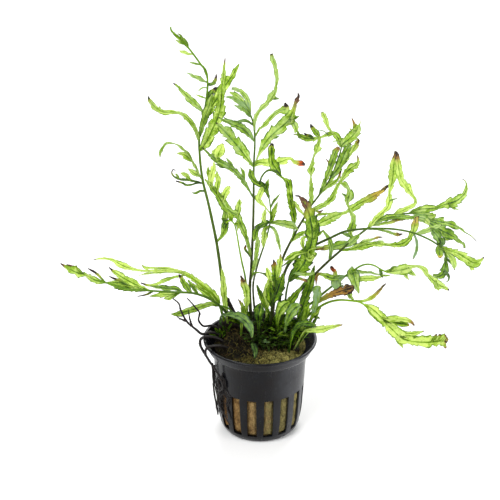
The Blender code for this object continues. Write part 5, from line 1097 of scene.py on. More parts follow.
# Each column's angle in each row: across the wall's slots, whose half angle is asin(half width / radius),
# at large radii, and across the foot's slots at small ones.
def potAngles(radius, columns):
    per, pitch = pot["columnsPerSlot"], math.tau / pot["slots"]
    half = np.arcsin(pot["slotWidth"] / 2 / np.maximum(radius, pot["slotInner"]))
    within = (columns % per) / per
    beyond = half + (within - 0.5) * 2 * (pitch - 2 * half)
    wallAngle = np.where(within < 0.5, -half + 4 * half * within, beyond)
    wallAngle = wallAngle + pot["slotPhase"] + (columns // per) * pitch
    step, span, first = len(columns) // pot["footSlots"], pot["footSlotHalf"], pot["footSlotColumn"]
    shift = (columns - first + step // 2) % step - step // 2
    middle = np.round((columns - first - shift) / step) * math.tau / pot["footSlots"]
    half = np.arcsin(pot["footSlotWidth"] / 2 / np.maximum(radius, pot["footSlotInner"]))
    beyond = half + (abs(shift) - span) / (step / 2 - span) * (math.pi / pot["footSlots"] - half)
    footAngle = middle + np.where(abs(shift) <= span, shift / span * half, np.sign(shift) * beyond)
    blend = np.clip((radius - pot["blend"][0]) / pot["blend"][1], 0, 1)
    return footAngle * (1 - blend) + wallAngle * blend


# The pot: a lathe whose slot cells are left out of both its skins, with the windows' edges closed.
def makePot():
    rows, outerRows, innerRows = potRows()
    per = pot["columnsPerSlot"]
    columns = np.arange(pot["slots"] * per)
    grid = lathe(rows[:, :1], potAngles(rows[:, :1], columns), rows[:, 1:])
    numbers = np.arange(grid[..., 0].size).reshape(grid.shape[:2])
    footOuter = np.arange(1, len(pot["footRadii"]))
    footInner = len(rows) - 1 - footOuter
    windows = [(outerRows, innerRows, k * per, per // 2) for k in range(pot["slots"])]
    step, span = len(columns) // pot["footSlots"], pot["footSlotHalf"]
    first = pot["footSlotColumn"] - span
    windows += [(footOuter, footInner, k * step + first, 2 * span) for k in range(pot["footSlots"])]
    keep = np.ones((len(rows) - 1, len(columns)), bool)
    extra = []
    for outer, inner, left, wide in windows:
        cells = (left + np.arange(wide)) % len(columns)
        keep[outer[0]:outer[-1], cells] = False
        keep[inner[-1]:inner[0], cells] = False
        extra += windowEdges(numbers, outer, inner, left, left + wide)
    closed = skin(grid[None], keep=keep, extra=np.vstack(extra))
    piece = makePiece("nursery_pot", [closed], [potMaterial], ["pot"], sharp=pot["sharp"])
    rounding = piece.modifiers.new("rounding", "BEVEL")
    rounding.width = pot["bevel"] * mm
    rounding.segments = pot["bevelSegments"]
    rounding.limit_method = "ANGLE"
    rounding.angle_limit = pot["bevelAngle"]


potFinish = {
    "specular": 0.17, "rough": (0.16, 0.3), "bump": (0.22, 0.12), "paintedReflection": (0.036, 0.037, 0.042),
    "plasticPaintedTint": [(0.3, (0.0045, 0.003, 0.003)), (0.5, (0.004, 0.004, 0.005)), (0.72, (0.007, 0.009, 0.013))],
    "scratch": (0.03, 0.03, 0.032), "spot": (0.09, 0.085, 0.07),
}


# Black plastic: satin, with cloudy water marks tinted warm and cool as painted reflections, fine scratches,
# pale spots, and a pale film at the right that is a painted reflection.
def makePotMaterial():
    finish = potFinish
    material, tree, shader, coords = startMaterial("blackPlastic", finish["specular"])
    cloud = noise(tree, coords, 90.0, 4.0, 0.65)
    grain = noise(tree, coords, 2600.0, 2.0)
    stretched = addNode(tree, "Mapping", {"Vector": coords, "Scale": (260.0, 260.0, 35.0)}).outputs[0]
    scuff = ease(tree, noise(tree, stretched, 3.0, 4.0, 0.7), 0.56, 0.72)
    spot = addNode(tree, "TexVoronoi", {"Vector": coords, "Scale": 210.0}).outputs["Distance"]
    spot = product(tree, ease(tree, spot, 0.05, 0.16, 1.0, 0.0), ease(tree, cloud, 0.5, 0.65))
    rightward = addNode(tree, "SeparateXYZ", {0: coords}).outputs[0]
    # painted reflection: the right side is made paler and cooler
    paintedReflection = product(tree, ease(tree, rightward, 0.002, 0.017), ease(tree, cloud, 0.25, 0.6, 0.45, 1.0))
    # cloudy water marks, tinted warm and cool as painted reflections
    colour = ramp(tree, cloud, finish["plasticPaintedTint"])
    colour = blendColour(tree, scaled(tree, scuff, 0.2), colour, finish["scratch"])
    colour = blendColour(tree, paintedReflection, colour, finish["paintedReflection"])
    colour = blendColour(tree, scaled(tree, spot, 0.4), colour, finish["spot"])
    rough = scaled(tree, scuff, 0.12, ease(tree, cloud, 0.3, 0.7, *finish["rough"]))
    height = scaled(tree, grain, 0.25, scaled(tree, cloud, 1.2))
    finishMaterial(tree, shader, colour, scaled(tree, spot, 0.2, rough), height, finish["bump"])
    return material


potMaterial = makePotMaterial()
makePot()
print("pot done")

# Wool: each kind of thread is a count, a length, a radius, points along it, and whether it is a rootlet.
wool = {
    "top": 40.6, "topRadius": 20.1, "topRows": 44, "edgeHeight": 40.0, "around": 260,
    "sideHeights": (2.2, 39.6), "sideRows": 80, "gap": 0.3, "bulge": 0.5, "fibre": 0.34, "pressed": 0.12,
    "slotGap": 0.25, "slotSoft": 0.5, "endGap": 0.5, "endSoft": 0.8, "taperBelow": 4.6, "taper": 0.35,
    "footRadii": (1.0, 14.2), "footRows": 10, "footHeight": 1.8,
    "threads": [(1500, 1.9, 0.12, 6, False), (560, 4.6, 0.13, 9, True)],
    "threadRadius": 20.0, "threadLimit": 20.2, "threadTurn": 2.6, "threadSize": (0.4, 1.3), "seed": 5,
}


# Crumbs of wool, from 0 in their creases to about 1: rounded lumps |noise| of three sizes.
def crumbs(x, y):
    flat = np.stack([x + 0.5 * np.sin(y), y, 0 * x], axis=-1)
    rough = 1.1 * abs(lumps(flat, 3.0, 1)) + 0.8 * abs(lumps(flat, 1.5, 2)) + 0.45 * abs(lumps(flat, 0.75, 3))
    return (rough / 1.3).clip(0, 1.2)


# The wool's top: its level, a swell at the crown and a heap at the left, and crumbs of its own.
def woolTop(x, y):
    crownSwell = 1.6 * np.exp(-((x - 2) ** 2 + (y - 8) ** 2) / 160)
    leftHeap = 1.8 * np.exp(-((x + 13) ** 2 + (y - 2) ** 2) / 80)
    waves = 0.35 * np.sin(0.55 * x + 0.8) * np.cos(0.5 * y)
    edge = np.clip((np.hypot(x, y) - 16) / 5, 0, 1) ** 2
    crumbled = 1.7 * crumbs(x, y) * (1 - 0.35 * edge) - 0.5 * edge - 0.75
    return wool["top"] + crownSwell + leftHeap + waves + crumbled


# How much a spot of the wool's side, at an angle and a height, stands free in a slot of the pot, from 0 to 1
def inSlot(angle, heights):
    pitch = math.tau / pot["slots"]
    off = np.abs(np.mod(angle - pot["slotPhase"] + pitch / 2, pitch) - pitch / 2) * wallRadius(heights)
    free = np.clip((pot["slotWidth"] / 2 - wool["slotGap"] - off) / wool["slotSoft"], 0, 1)
    ends = np.minimum(heights - pot["slotLow"], pot["slotHigh"] - heights)
    return free * np.clip((ends - wool["endGap"]) / wool["endSoft"], 0, 1)


# The wool plug: a lathe whose side swells into the pot's slots and is fibrous, and whose top is lumpy.
def makeWool():
    angle = np.linspace(0, math.tau, wool["around"], endpoint=False)[None, :]
    heights = np.linspace(*wool["sideHeights"], wool["sideRows"])[:, None]
    free = inSlot(angle, heights)
    plain = wallRadius(heights) - pot["wall"] - wool["gap"]
    plain = plain - wool["taper"] * np.maximum(0, wool["taperBelow"] - heights)
    around = lathe(plain, angle, heights)
    fibre = lumps(around * (1, 1, 0.35), 0.9, 7) + 0.7 * lumps(around, 2.6, 8)
    fibre = fibre + 0.4 * lumps(around * (1, 1, 0.4), 0.45, 9)
    pressed = wool["pressed"] * (1 + np.clip(fibre, -1, 1))
    sides = plain + free * (wool["bulge"] + wool["fibre"] * fibre) - (1 - free) * pressed
    footRadii = np.linspace(*wool["footRadii"], wool["footRows"])[:, None]
    topRadii = (wool["topRadius"] * np.linspace(1, 0.02, wool["topRows"]) ** 0.8)[:, None]
    x, y = topRadii * np.sin(angle), -topRadii * np.cos(angle)
    level = woolTop(x, y)
    inward = np.clip((wool["topRadius"] - topRadii) / 1.2, 0, 1)
    level = level * inward + (1 - inward) * np.minimum(level, wool["edgeHeight"])
    grid = np.concatenate([lathe(footRadii, angle, wool["footHeight"]), lathe(sides, angle, heights),
                           lathe(topRadii, angle, level)])
    relief = np.zeros(grid.shape[:2])
    relief[-wool["topRows"]:] = 1 + crumbs(x, y)
    look = sideBySide(grid.shape[:2], grid[..., 0] / 20, grid[..., 1] / 20, relief)
    skins = [skin(grid[None], look=look[None]), *moss()]
    makePiece("rock_wool", skins, [woolMaterial, mossMaterial], ["rock_wool"], sharp=180)


# Loose threads over the wool: each is a short tube that lies in the lumps, and its heading turns evenly.
# The left half has dark red-brown rootlets, the right and front have short olive fibres.
def moss():
    rng = np.random.default_rng(wool["seed"])
    made = []
    for count, length, thick, steps, isRootlet in wool["threads"]:
        radius = wool["threadRadius"] * np.sqrt(rng.uniform(0, 1, count))
        spin = rng.uniform(0, math.tau, count)
        x, y = radius * np.sin(spin), -radius * np.cos(spin)
        if isRootlet:
            x = 3.5 * rng.uniform(0, 1, count) - 0.95 * np.abs(x)
        heading = rng.uniform(0, math.tau, count)[:, None]
        t = np.linspace(0, 1, steps)[None, :]
        heading = heading + rng.uniform(-1, 1, count)[:, None] * wool["threadTurn"] * t
        size = (length * rng.uniform(*wool["threadSize"], count))[:, None]
        xs = x[:, None] + np.cumsum(np.cos(heading), axis=1) * size / steps
        ys = y[:, None] + np.cumsum(np.sin(heading), axis=1) * size / steps
        inside = wool["threadLimit"] / np.maximum(np.hypot(xs, ys), wool["threadLimit"])
        xs, ys = xs * inside, ys * inside
        rise = rng.uniform(0.0, 1.0, count)[:, None] * np.sin(math.pi * t ** 0.7)
        height = woolTop(xs, ys) + rise * (1.5 if isRootlet else 1.0) + 0.02
        middle = np.stack([xs, ys, height], axis=-1)
        thickness = thick * rng.uniform(0.6, 1.3, count)[:, None] * (1 - 0.7 * t)
        tone = rng.uniform(0, 1, count)
        bright = np.clip(0.5 + (x - 0.5 * y - 2) / 9, 0, 1)
        tone = tone ** 5 if isRootlet else 0.08 + (0.4 + 0.6 * bright) * tone ** (3 - 2 * bright)
        look = sideBySide((count,), tone, rng.uniform(0, 1, count), isRootlet)
        made.append(tubes(middle, thickness[..., None], 4, 1, look=look[:, None, None, :]))
    return made


woolFinish = {
    "specular": 0.08, "rough": (0.6, 0.95), "bump": (0.9, 0.3),
    "side": [(0.12, (0.20, 0.10, 0.03)), (0.4, (0.30, 0.20, 0.08)), (0.58, (0.16, 0.135, 0.05)),
             (0.85, (0.19, 0.155, 0.058))],
    "top": [(0.0, (0.005, 0.004, 0.002)), (0.33, (0.013, 0.010, 0.004)), (0.52, (0.15, 0.125, 0.03)),
            (0.75, (0.27, 0.235, 0.065)), (1.0, (0.36, 0.32, 0.10))],
    "hollowShade": (0.012, 0.009, 0.004), "shade": (0.018, 0.013, 0.005),
}


# Rock wool: golden brown at the left, olive at the right, nearly black where the top's left side is wet,
# and darker towards the top's back as painted shadow of the crown. Painted shade darkens the top's hollows
# and the gaps between fibres.
def makeWoolMaterial():
    finish = woolFinish
    material, tree, shader, coords = startMaterial("rockWool", finish["specular"])
    x, y, z = attribute(tree, "look")
    stretched = addNode(tree, "Mapping", {"Vector": coords, "Scale": (1.0, 1.0, 0.35)}).outputs[0]
    fibre = noise(tree, stretched, 1500.0, 5.0, 0.7)
    clump = noise(tree, coords, 330.0, 4.0, 0.6)
    strand = addNode(tree, "TexWave", {"Vector": coords, "Scale": 420.0, "Distortion": 14.0, "Detail": 3.0,
                                       "Detail Scale": 2.2}).outputs["Fac"]
    side = total(tree, scaled(tree, x, 0.42, 0.45), scaled(tree, clump, 0.5, -0.25))
    # wet and dark at the left, and darker towards the back as painted shadow of the crown
    dampAndShadow = scaled(tree, clump, 1.3, scaled(tree, x, 0.75, scaled(tree, y, -0.5, -0.35)))
    above = ramp(tree, dampAndShadow, finish["top"])
    # painted shade: the top darkens in the hollows between its crumbs
    above = blendColour(tree, ease(tree, z, 1.1, 1.55, 0.85, 0.0), above, finish["hollowShade"])
    colour = blendColour(tree, ease(tree, z, 0.4, 0.8), ramp(tree, side, finish["side"]), above)
    shade = scaled(tree, fibre, 0.7, scaled(tree, strand, 0.3, scaled(tree, clump, 0.7, -0.33)))
    colour = blendColour(tree, ease(tree, shade, 0.3, 0.62, 0.75, 0.0), colour, finish["shade"])
    rough = ease(tree, clump, 0.3, 0.7, *finish["rough"])
    finishMaterial(tree, shader, colour, rough, shade, finish["bump"])
    return material


mossFinish = {
    "specular": 0.12, "rough": (0.5, 0.85), "bump": (0.4, 0.05),
    "olive": [(0.1, (0.010, 0.007, 0.004)), (0.35, (0.05, 0.045, 0.012)), (0.6, (0.17, 0.16, 0.04)),
              (0.95, (0.42, 0.39, 0.13))],
    "ruddy": [(0.1, (0.005, 0.004, 0.003)), (0.4, (0.014, 0.009, 0.005)), (0.8, (0.10, 0.06, 0.022))],
    "pale": (0.12, 0.10, 0.025),
}


# Threads: olive fibres by tone, and ruddy rootlets, some of them pale.
def makeMossMaterial():
    finish = mossFinish
    material, tree, shader, coords = startMaterial("mossThreads", finish["specular"])
    tone, seed, isRootlet = attribute(tree, "look")
    mottle = noise(tree, coords, 900.0, 2.0)
    factor = scaled(tree, mottle, 0.3, total(tree, tone, -0.15))
    ruddy = blendColour(tree, ease(tree, seed, 0.7, 0.8), ramp(tree, factor, finish["ruddy"]), finish["pale"])
    colour = blendColour(tree, isRootlet, ramp(tree, factor, finish["olive"]), ruddy)
    rough = ease(tree, mottle, 0.3, 0.7, *finish["rough"])
    finishMaterial(tree, shader, colour, rough, mottle, finish["bump"])
    return material


woolMaterial = makeWoolMaterial()
mossMaterial = makeMossMaterial()
makeWool()
print("rock wool done")

rhizome = {
    "route": [(-18.5, 10, 43), (-14, 12.5, 44.2), (-8, 12, 43.8), (-2, 9.5, 42.6),
              (5, 7, 41.9), (11, 4.5, 41.4), (15.5, 2, 41)],
    "radii": [1.7, 2.5, 2.6, 2.3, 2.1, 1.9, 1.4],
    "branch": [(3, 7.4, 42), (8, 1, 41.8), (13, -4, 41.6), (17, -7.6, 41.2)],
    "branchRadii": [1.9, 1.8, 1.6, 1.2],
    "stump": [(-9.5, 13, 45), (-11.8, 14.5, 48.5), (-13.8, 16, 52.5), (-14.4, 16.5, 55)],
    "stumpRadii": [1.5, 1.1, 0.9, 0.8],
    "shoots": [[(0.4, 8, 43), (0.6, 5.8, 46.3), (0.2, 4.6, 49.6)],
               [(6.2, 6.4, 42.4), (6.3, 4.3, 46), (6.8, 2.8, 49.5)],
               [(9.4, 3.6, 41.4), (9.8, 1.8, 43.8), (11, 0.6, 46.4)]],
    "shootHalf": 0.6, "spacing": 0.28, "sides": 30, "ridgePitch": 1.9,
    "hairs": (2.2, 420, 1.1), "branchHairs": (1.6, 210, 0.9),  # stem's radius there, how many, how long
}


# A knobbly stem: tube radius * (1 + overlapping scale ridges + lumps), closed to a dome at each end.
def knobblyStem(route, givenRadii, seed):
    middle = smoothRoute(route, rhizome["spacing"])
    s = np.linspace(0, 1, len(middle))
    angle = np.linspace(0, math.tau, rhizome["sides"], endpoint=False)[None, :]
    radius = np.interp(s, np.linspace(0, 1, len(givenRadii)), givenRadii)[:, None]
    run = s[:, None] * runAlong(middle)[-1]
    ridge = np.mod(run / rhizome["ridgePitch"] + 0.35 * np.sin(3 * angle + seed), 1)
    around = sideBySide(ridge.shape, run, radius * np.sin(angle), radius * np.cos(angle))
    rough = 0.10 * ridge + 0.12 * lumps(around, 1.3, seed) + 0.06 * lumps(around, 0.6, seed + 1)
    dome = np.minimum(1, np.sqrt(np.clip(np.minimum(run, run[-1] - run) / radius, 0.02, 1)))
    look = sideBySide(ridge.shape, ridge, 0, seed % 7 / 7)
    full = radius * dome * (1 + rough)
    return tubes(middle[None], full[None], rhizome["sides"], 0, look=look[None]), middle


# Short scale hairs that stand off a stem in all directions and droop by 0.6 * t².
def stemHairs(middle, radius, count, length, seed):
    rng = np.random.default_rng(seed)
    start = middle[rng.integers(2, len(middle) - 2, count)]
    way = unit(rng.normal(size=(count, 3)))
    t = np.linspace(0, 1, 5)[None, :, None]
    size = (length * rng.uniform(0.4, 1.2, count))[:, None, None]
    line = start[:, None] + way[:, None] * (radius * 0.9 + t * size) + np.array([0, 0, -0.6]) * t ** 2 * size
    thickness = 0.06 * (1 - 0.8 * t) * np.ones((count, 1, 1))
    look = sideBySide((count,), rng.uniform(0, 1, count), 1, 0)
    return tubes(line, thickness, 4, 0, look=look[:, None, None, :])


# The rhizome: its main stem, a side branch, an old stalk's stump, and hairs on the first two
def makeRhizome():
    stem, stemLine = knobblyStem(rhizome["route"], rhizome["radii"], 11)
    branch, branchLine = knobblyStem(rhizome["branch"], rhizome["branchRadii"], 23)
    stump = knobblyStem(rhizome["stump"], rhizome["stumpRadii"], 37)[0]
    hairs = [stemHairs(stemLine, *rhizome["hairs"], 3), stemHairs(branchLine, *rhizome["branchHairs"], 4)]
    skins = [stem, branch, stump, *hairs]
    makePiece("rhizome", skins, [barkMaterial], ["rhizome"], sharp=75)


barkFinish = {
    "specular": 0.2, "rough": (0.42, 0.8), "bump": (0.7, 0.2),
    "bark": [(0.1, (0.006, 0.004, 0.003)), (0.45, (0.022, 0.014, 0.008)), (0.85, (0.085, 0.05, 0.022))],
}


# Bark: near black, each scale ridge paler brown at its edge, rough and slightly wet.
def makeBarkMaterial():
    finish = barkFinish
    material, tree, shader, coords = startMaterial("rhizomeBark", finish["specular"])
    ridge = attribute(tree, "look")[0]
    mottle = noise(tree, coords, 520.0, 4.0, 0.65)
    grain = noise(tree, coords, 2400.0, 3.0)
    colour = ramp(tree, scaled(tree, mottle, 0.8, scaled(tree, ridge, 0.35, -0.3)), finish["bark"])
    rough = ease(tree, mottle, 0.3, 0.7, *finish["rough"])
    finishMaterial(tree, shader, colour, rough, scaled(tree, grain, 0.5, mottle), finish["bump"])
    return material


barkMaterial = makeBarkMaterial()
makeRhizome()
print("rhizome done")

# Roots: each branch's radius and real route, the root itself first and then the forks that leave it
roots = {
    "upright": [(0.36, [(-16, 7.5, 40.5), (-18.5, 7, 44.5), (-21.5, 6.3, 46.2), (-25, 5, 46.8),
                        (-27, 4, 50), (-26.6, 3, 54.5), (-28.5, 2, 58), (-31.6, 1, 62.5)])],
    "forked": [(0.4, [(-15.5, 3, 39.8), (-18, 2.6, 43.6), (-21.5, 1.5, 45.4), (-25.4, 0, 45.6),
                      (-29, -1.5, 49.5), (-32.3, -3, 54), (-34.2, -4, 59), (-35, -5, 63),
                      (-37.4, -6, 66)]),
               (0.3, [(-29.6, -1.8, 50.2), (-30.6, -2.2, 54.5), (-31.2, -2.6, 59)]),
               (0.3, [(-32, -2.8, 53.4), (-34.4, -3.6, 54.6), (-36.2, -4.2, 56.6)])],
    "down_wall": [(0.42, [(-13.5, -1, 39.2), (-16.5, -1.5, 42.8), (-20.5, -2.4, 45.2), (-25.2, -3.2, 45.3),
                          (-26.2, -4, 42.5), (-23.6, -5.2, 37.5), (-21, -6, 33), (-20.6, -6.4, 27),
                          (-20.3, -6.2, 21), (-19.6, -6.6, 15), (-18.6, -7.6, 9)])],
    "looping": [(0.36, [(-12, -6, 39.2), (-15, -7.3, 42.8), (-18.8, -9.7, 44.9), (-22.9, -11.7, 45.2),
                        (-23.5, -12.3, 42), (-20.6, -11.3, 36), (-17.5, -12.5, 31),
                        (-16, -14, 26.5), (-18.2, -11.4, 22.5), (-18.4, -10.6, 18),
                        (-16, -13, 13), (-13.2, -15, 8)])],
}
rootShape = {"spacing": 0.4, "sides": 10, "thicken": 1.6, "shake": 0.22, "hairs": (26, 1.5)}
tangle = {
    "count": 22, "top": (24.0, 33.0), "bottom": (5.0, 18.0), "angles": (-92, -44), "drift": (-9, 9),
    "wave": 2.6, "radius": (0.12, 0.3), "standOff": 0.25, "steps": 60, "sides": 7,
}


# Fine roots that spread over the wall's left slots: at height z the angle is start + drift * t + waves,
# and the radius is the wall's plus a little.
def wallTangle(seed):
    rng = np.random.default_rng(seed)
    t = np.linspace(0, 1, tangle["steps"])
    look = sideBySide(t.shape, 0.5, 0, t)[None, :, None, :]
    skins = []
    for index in range(tangle["count"]):
        high, low = rng.uniform(*tangle["top"]), rng.uniform(*tangle["bottom"])
        z = high + (low - high) * t
        waves = np.sin(t * rng.uniform(5, 14) + rng.uniform(0, 6))
        waves = waves + 0.5 * np.sin(t * rng.uniform(14, 30) + rng.uniform(0, 6))
        spread = rng.uniform(*tangle["angles"]) + rng.uniform(*tangle["drift"]) * t
        size = rng.uniform(*tangle["radius"]) * np.linspace(1, 0.4, len(t))
        radius = wallRadius(z) + size + tangle["standOff"] * (1 + np.sin(t * 9 + index))
        middle = lathe(radius, np.radians(spread + tangle["wave"] * waves), z)
        skins.append(tubes(middle[None], size[None, :, None], tangle["sides"], 0, look=look))
    return skins


# A wiry root: a tapered tube with bends of smooth noise along it, and hair rootlets that leave it.
def makeRoot(name, branches, seed):
    skins = wallTangle(seed) if name == "down_wall" else []
    for index, (radius, route) in enumerate(branches):
        middle = smoothRoute(route, rootShape["spacing"])
        s = np.linspace(0, 1, len(middle))
        shake = np.stack([lumps(middle, 2.6, seed + k) for k in range(3)], axis=-1)
        middle = middle + shake * rootShape["shake"] * np.sin(math.pi * s)[:, None]
        rough = 1 + 0.16 * lumps(middle, 1.1, seed + 5)
        taper = radius * rootShape["thicken"] * np.linspace(1.15, 0.5 if index == 0 else 0.3, len(s)) * rough
        look = sideBySide(s.shape, 0.5 + 0.5 * rough, 0, s)[None, :, None, :]
        skins.append(tubes(middle[None], taper[None, :, None], rootShape["sides"], 0, look=look))
        skins.append(stemHairs(middle, radius * 0.8, *rootShape["hairs"], seed + index))
    makePiece("root_" + name, skins, [rootMaterial], ["root_" + name], sharp=80)


rootFinish = {
    "specular": 0.25, "rough": (0.28, 0.6), "bump": (0.5, 0.1),
    "fibre": [(0.3, (0.004, 0.003, 0.003)), (0.6, (0.010, 0.007, 0.006)), (0.8, (0.04, 0.022, 0.014))],
}


# Root: black, with brown flecks and a wet gloss.
def makeRootMaterial():
    finish = rootFinish
    material, tree, shader, coords = startMaterial("rootFibre", finish["specular"])
    mottle = noise(tree, coords, 700.0, 3.0)
    rough = ease(tree, mottle, 0.3, 0.7, *finish["rough"])
    finishMaterial(tree, shader, ramp(tree, mottle, finish["fibre"]), rough, mottle, finish["bump"])
    return material


rootMaterial = makeRootMaterial()
for number, (rootName, branches) in enumerate(roots.items()):
    makeRoot(rootName, branches, 50 * number)
print("roots done")

# Leaves too small to be nodes of their own, written as the small leaves are
sprigs = {
    "seedling": ((-4.4, -2.6, 39.8), .22, [(-3.6, -3, -6, .6), (-2.4, -4.6, -9, 1.2), (-2, -7.6, -12, .8),
        (-2.6, -9.6, -13, .2)], {"frost": .2}),
    "rightSprig": ((15.8, -6.4, 41.4), .4, [(22.6, 8, -14, .4), (24.6, 10.4, -15, .9),
        (26.8, 12.8, -15.6, .15)]),
    "lowSprig": ((15.8, -6.4, 41.4), .3, [(22.8, 7.6, -14, .4), (24.6, 8.4, -15, .8), (26.4, 8, -15.5, .15)]),
    "rightBroad": ((14, -1, 41.3), .5, [(18.6, 4, -9, .8), (19.8, 8, -10, 1.6), (20.8, 11.8, -10.6, 1.5),
        (21.8, 14.8, -11, .2)]),
    "rightHang": ((15.2, -5.4, 41.2), .42, [(22.4, 3.4, -13, .6), (24, 6.2, -14, 1.3),
        (25.4, 9.6, -14.6, 1.5), (26.2, 12.6, -15, .2)], {"frost": .15}),
    "shortRight": ((14, -2, 41.2), .3, [(20.6, 2.4, -12, .8), (22.6, 4.4, -13, 1.3), (24.8, 5.6, -14, .2)]),
    "midDark": ((12.6, -9.4, 41), .3, [(14, -1.4, -12.4, .9), (15.4, 2.2, -13.6, 1.3), (17.4, 4.6, -15, .2)]),
    "paleEnd": ((35.9, -16, 75.2), .7, [(38.4, 19.8, -16, 1.2), (39.6, 17.8, -16, 1.2), (41, 16, -16, .3)],
        {"frost": .2}),
}
# The thicket: each group is a count, whether it is of leaves, and whether it stands in front of the rhizome.
crown = {
    "groups": [(80, True, False), (60, False, False), (22, True, True), (130, False, True)], "seed": 21,
    "front": [(-1.5, 1, 41.3), (1, -2.5, 41.2), (4, -4.6, 41.1), (7.5, -4.6, 41), (10.5, -2, 41)],
    "tufts": [(-18, 2.5, 41), (-16.6, 4.5, 41.2), (-17.6, 6.5, 41.4), (-15.6, 8, 41.6)], "perTuft": 4,
    "length": (6.0, 19.0), "frontLength": (6.0, 12.5), "tuftLength": (2.5, 5.5), "stemShare": 0.9,
    "leafHalf": (0.6, 1.7), "tuftHalf": (0.4, 0.9), "stemRadius": (0.2, 0.45), "frontShare": 0.6,
    "leafTone": (0.12, 0.5), "tuftTone": (0.1, 0.4), "stemTone": (0.2, 0.5), "stemBrown": (0.1, 0.9),
    "spacing": 0.5, "stemSpacing": 0.9, "stemSides": 8, "bareStart": 26, "bareEnd": 12,
    "lift": 0.8, "scatter": 1.6, "fanAcross": 4.0, "fanOut": 0.045, "forward": -0.3, "bend": 0.25,
    "leafSeed": 5000, "stemSeed": 6000, "shootSeed": 7000, "tuftSeed": 8000,
}
sprigLeaf = {"frost": 0, "footHalf": 0.3, "root": 0.4, "seed": 7100}


# The crown's thicket: young leaves and bare stalk bases that rise from the rhizome and from the wool in
# front of it, each along start + way * length * t + bend * t², with the way fanned by where it starts.
def makeCrown():
    rng = np.random.default_rng(crown["seed"])
    spacing = crown["spacing"]
    lines = np.vstack([smoothRoute(rhizome["route"], spacing)[crown["bareStart"]:],
                       smoothRoute(rhizome["branch"], spacing)[:-crown["bareEnd"]]])
    fronts = smoothRoute(crown["front"], spacing)
    kinds = [(isLeaf, atFront) for count, isLeaf, atFront in crown["groups"] for _ in range(count)]
    skins = []
    for number, (isLeaf, atFront) in enumerate(kinds):
        starts = fronts if atFront else lines
        start = starts[rng.integers(0, len(starts))] + (0, 0, 0.0 if atFront else crown["lift"])
        start = start + crown["scatter"] * np.array([1, 1, 0]) * rng.normal(size=3) * atFront
        sideStep = (start[0] - crown["fanAcross"]) * crown["fanOut"] + rng.normal() * 0.22
        way = unit(np.array([sideStep, crown["forward"] + rng.normal() * 0.25, 1.0]))
        length = rng.uniform(*crown["frontLength" if atFront else "length"])
        length = length * (1 if isLeaf else crown["stemShare"])
        t = np.linspace(0, 1, 5)[:, None]
        bend = crown["bend"] * np.array([rng.normal(), -1, -1]) * length
        points = start + way * length * t + bend * t ** 2
        if isLeaf:
            smaller = crown["frontShare"] if atFront else 1
            half = rng.uniform(*crown["leafHalf"]) * smaller
            tone = rng.uniform(*crown["leafTone"]) * smaller
            tone = tone + (0.1 if atFront else 0.25) * (rng.uniform() > 0.8)
            look = {"tone": tone, "frost": 0.3 * (rng.uniform() > 0.85), "ruffle": 0.25, "fold": 0.25}
            tilt, seed = rng.uniform(-1.2, 1.2), crown["leafSeed"] + number
            skins.append(plainLeaf(points, spacing, half, tilt, look, 0.4, seed))
        else:
            path = smoothRoute(points, crown["stemSpacing"])
            radii = rng.uniform(*crown["stemRadius"]) * np.linspace(1, 0.5, len(path))
            tone, brown = rng.uniform(*crown["stemTone"]), rng.uniform(*crown["stemBrown"])
            skins.append(stalkTube(path, radii, tone, brown, crown["stemSeed"] + number, crown["stemSides"]))
    for index, start in enumerate(np.repeat(crown["tufts"], crown["perTuft"], axis=0)):
        way = np.array([rng.normal() * 0.5, -0.3 + rng.normal() * 0.4, 1.0])
        points = start + way * np.array([0, 0.35, 0.7, 1.0])[:, None] * rng.uniform(*crown["tuftLength"])
        look = {"tone": rng.uniform(*crown["tuftTone"]), "fold": 0.3}
        half, tilt = rng.uniform(*crown["tuftHalf"]), rng.uniform(-1, 1)
        skins.append(plainLeaf(points, spacing, half, tilt, look, 0.25, crown["tuftSeed"] + index))
    half, look = rhizome["shootHalf"], {"tone": 0.4, "ruffle": 0.1}
    for index, route in enumerate(rhizome["shoots"]):
        seed = crown["shootSeed"] + index
        skins.append(plainLeaf(route, leafShape["spacing"], half, index, look, 0.6, seed))
    for index, plan in enumerate(sprigs.values()):
        skins.append(simpleLeaf(plan, sprigLeaf, 0.3 * index, index))
    makePiece("crown_thicket", skins, leafMaterials, [])


makeCrown()
print("crown done")

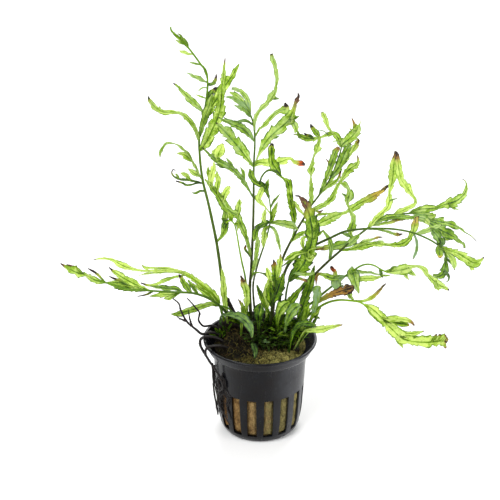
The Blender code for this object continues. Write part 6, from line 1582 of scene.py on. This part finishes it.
# Studio: each lamp's place, its size in metres and its power
studio = {
    "world": 0.6, "floor": (0.9, 0.9, 0.9), "floorRough": 0.9, "floorHalf": 3.0, "aim": (0, 0, 0.075),
    "sensor": 36.0, "clipStart": 0.01,
    "lamps": {"key": ((-0.35, -0.45, 0.75), 0.5, 5.6), "fill": ((0.75, -0.42, 0.30), 0.6, 4.6),
              "back": ((0.1, 0.6, 0.6), 0.6, 5.0)},
}


# A round lamp that looks at the middle of the plant
def addLamp(name, spot, size, power):
    data = bpy.data.lights.new(name, "AREA")
    data.shape = "DISK"
    data.size = size
    data.energy = power
    lamp = bpy.data.objects.new(name, data)
    lamp.location = spot
    towards = np.array(studio["aim"]) - np.array(spot)
    lamp.rotation_euler = (math.atan2(math.hypot(towards[0], towards[1]), -towards[2]), 0,
                           math.atan2(towards[1], towards[0]) - math.pi / 2)
    bpy.context.scene.collection.objects.link(lamp)


# White surroundings, the lamps, and a pale floor under the pot
def makeStudio():
    scene = bpy.context.scene
    scene.world = bpy.data.worlds.new("studio")
    scene.view_settings.view_transform = "Standard"
    scene.world.use_nodes = True
    sky = scene.world.node_tree.nodes["Background"]
    sky.inputs["Color"].default_value = (1.0, 1.0, 1.0, 1)
    sky.inputs["Strength"].default_value = studio["world"]
    for name, (spot, size, power) in studio["lamps"].items():
        addLamp(name, spot, size, power)
    mesh, far = bpy.data.meshes.new("floor"), studio["floorHalf"]
    mesh.from_pydata([(-far, -far, 0), (far, -far, 0), (far, far, 0), (-far, far, 0)], [], [(0, 1, 2, 3)])
    paper = bpy.data.materials.new("palePaper")
    paper.use_nodes = True
    shader = paper.node_tree.nodes["Principled BSDF"]
    shader.inputs["Base Color"].default_value = (*studio["floor"], 1)
    shader.inputs["Roughness"].default_value = studio["floorRough"]
    mesh.materials.append(paper)
    floor = bpy.data.objects.new("floor", mesh)
    scene.collection.objects.link(floor)


# The camera of the photograph, whose frame is frameWidth mm wide at the rim's distance
def makeCamera():
    data = bpy.data.cameras.new("camera")
    data.sensor_width = studio["sensor"]
    data.lens = studio["sensor"] * view["distance"] / view["frameWidth"]
    data.clip_start = studio["clipStart"]
    camera = bpy.data.objects.new("camera", data)
    camera.location = (eye + upward * view["cameraLift"]) * mm
    camera.rotation_euler = (math.pi / 2 - view["elevation"], 0, 0)
    bpy.context.scene.collection.objects.link(camera)
    bpy.context.scene.camera = camera


makeStudio()
makeCamera()
print("studio done")
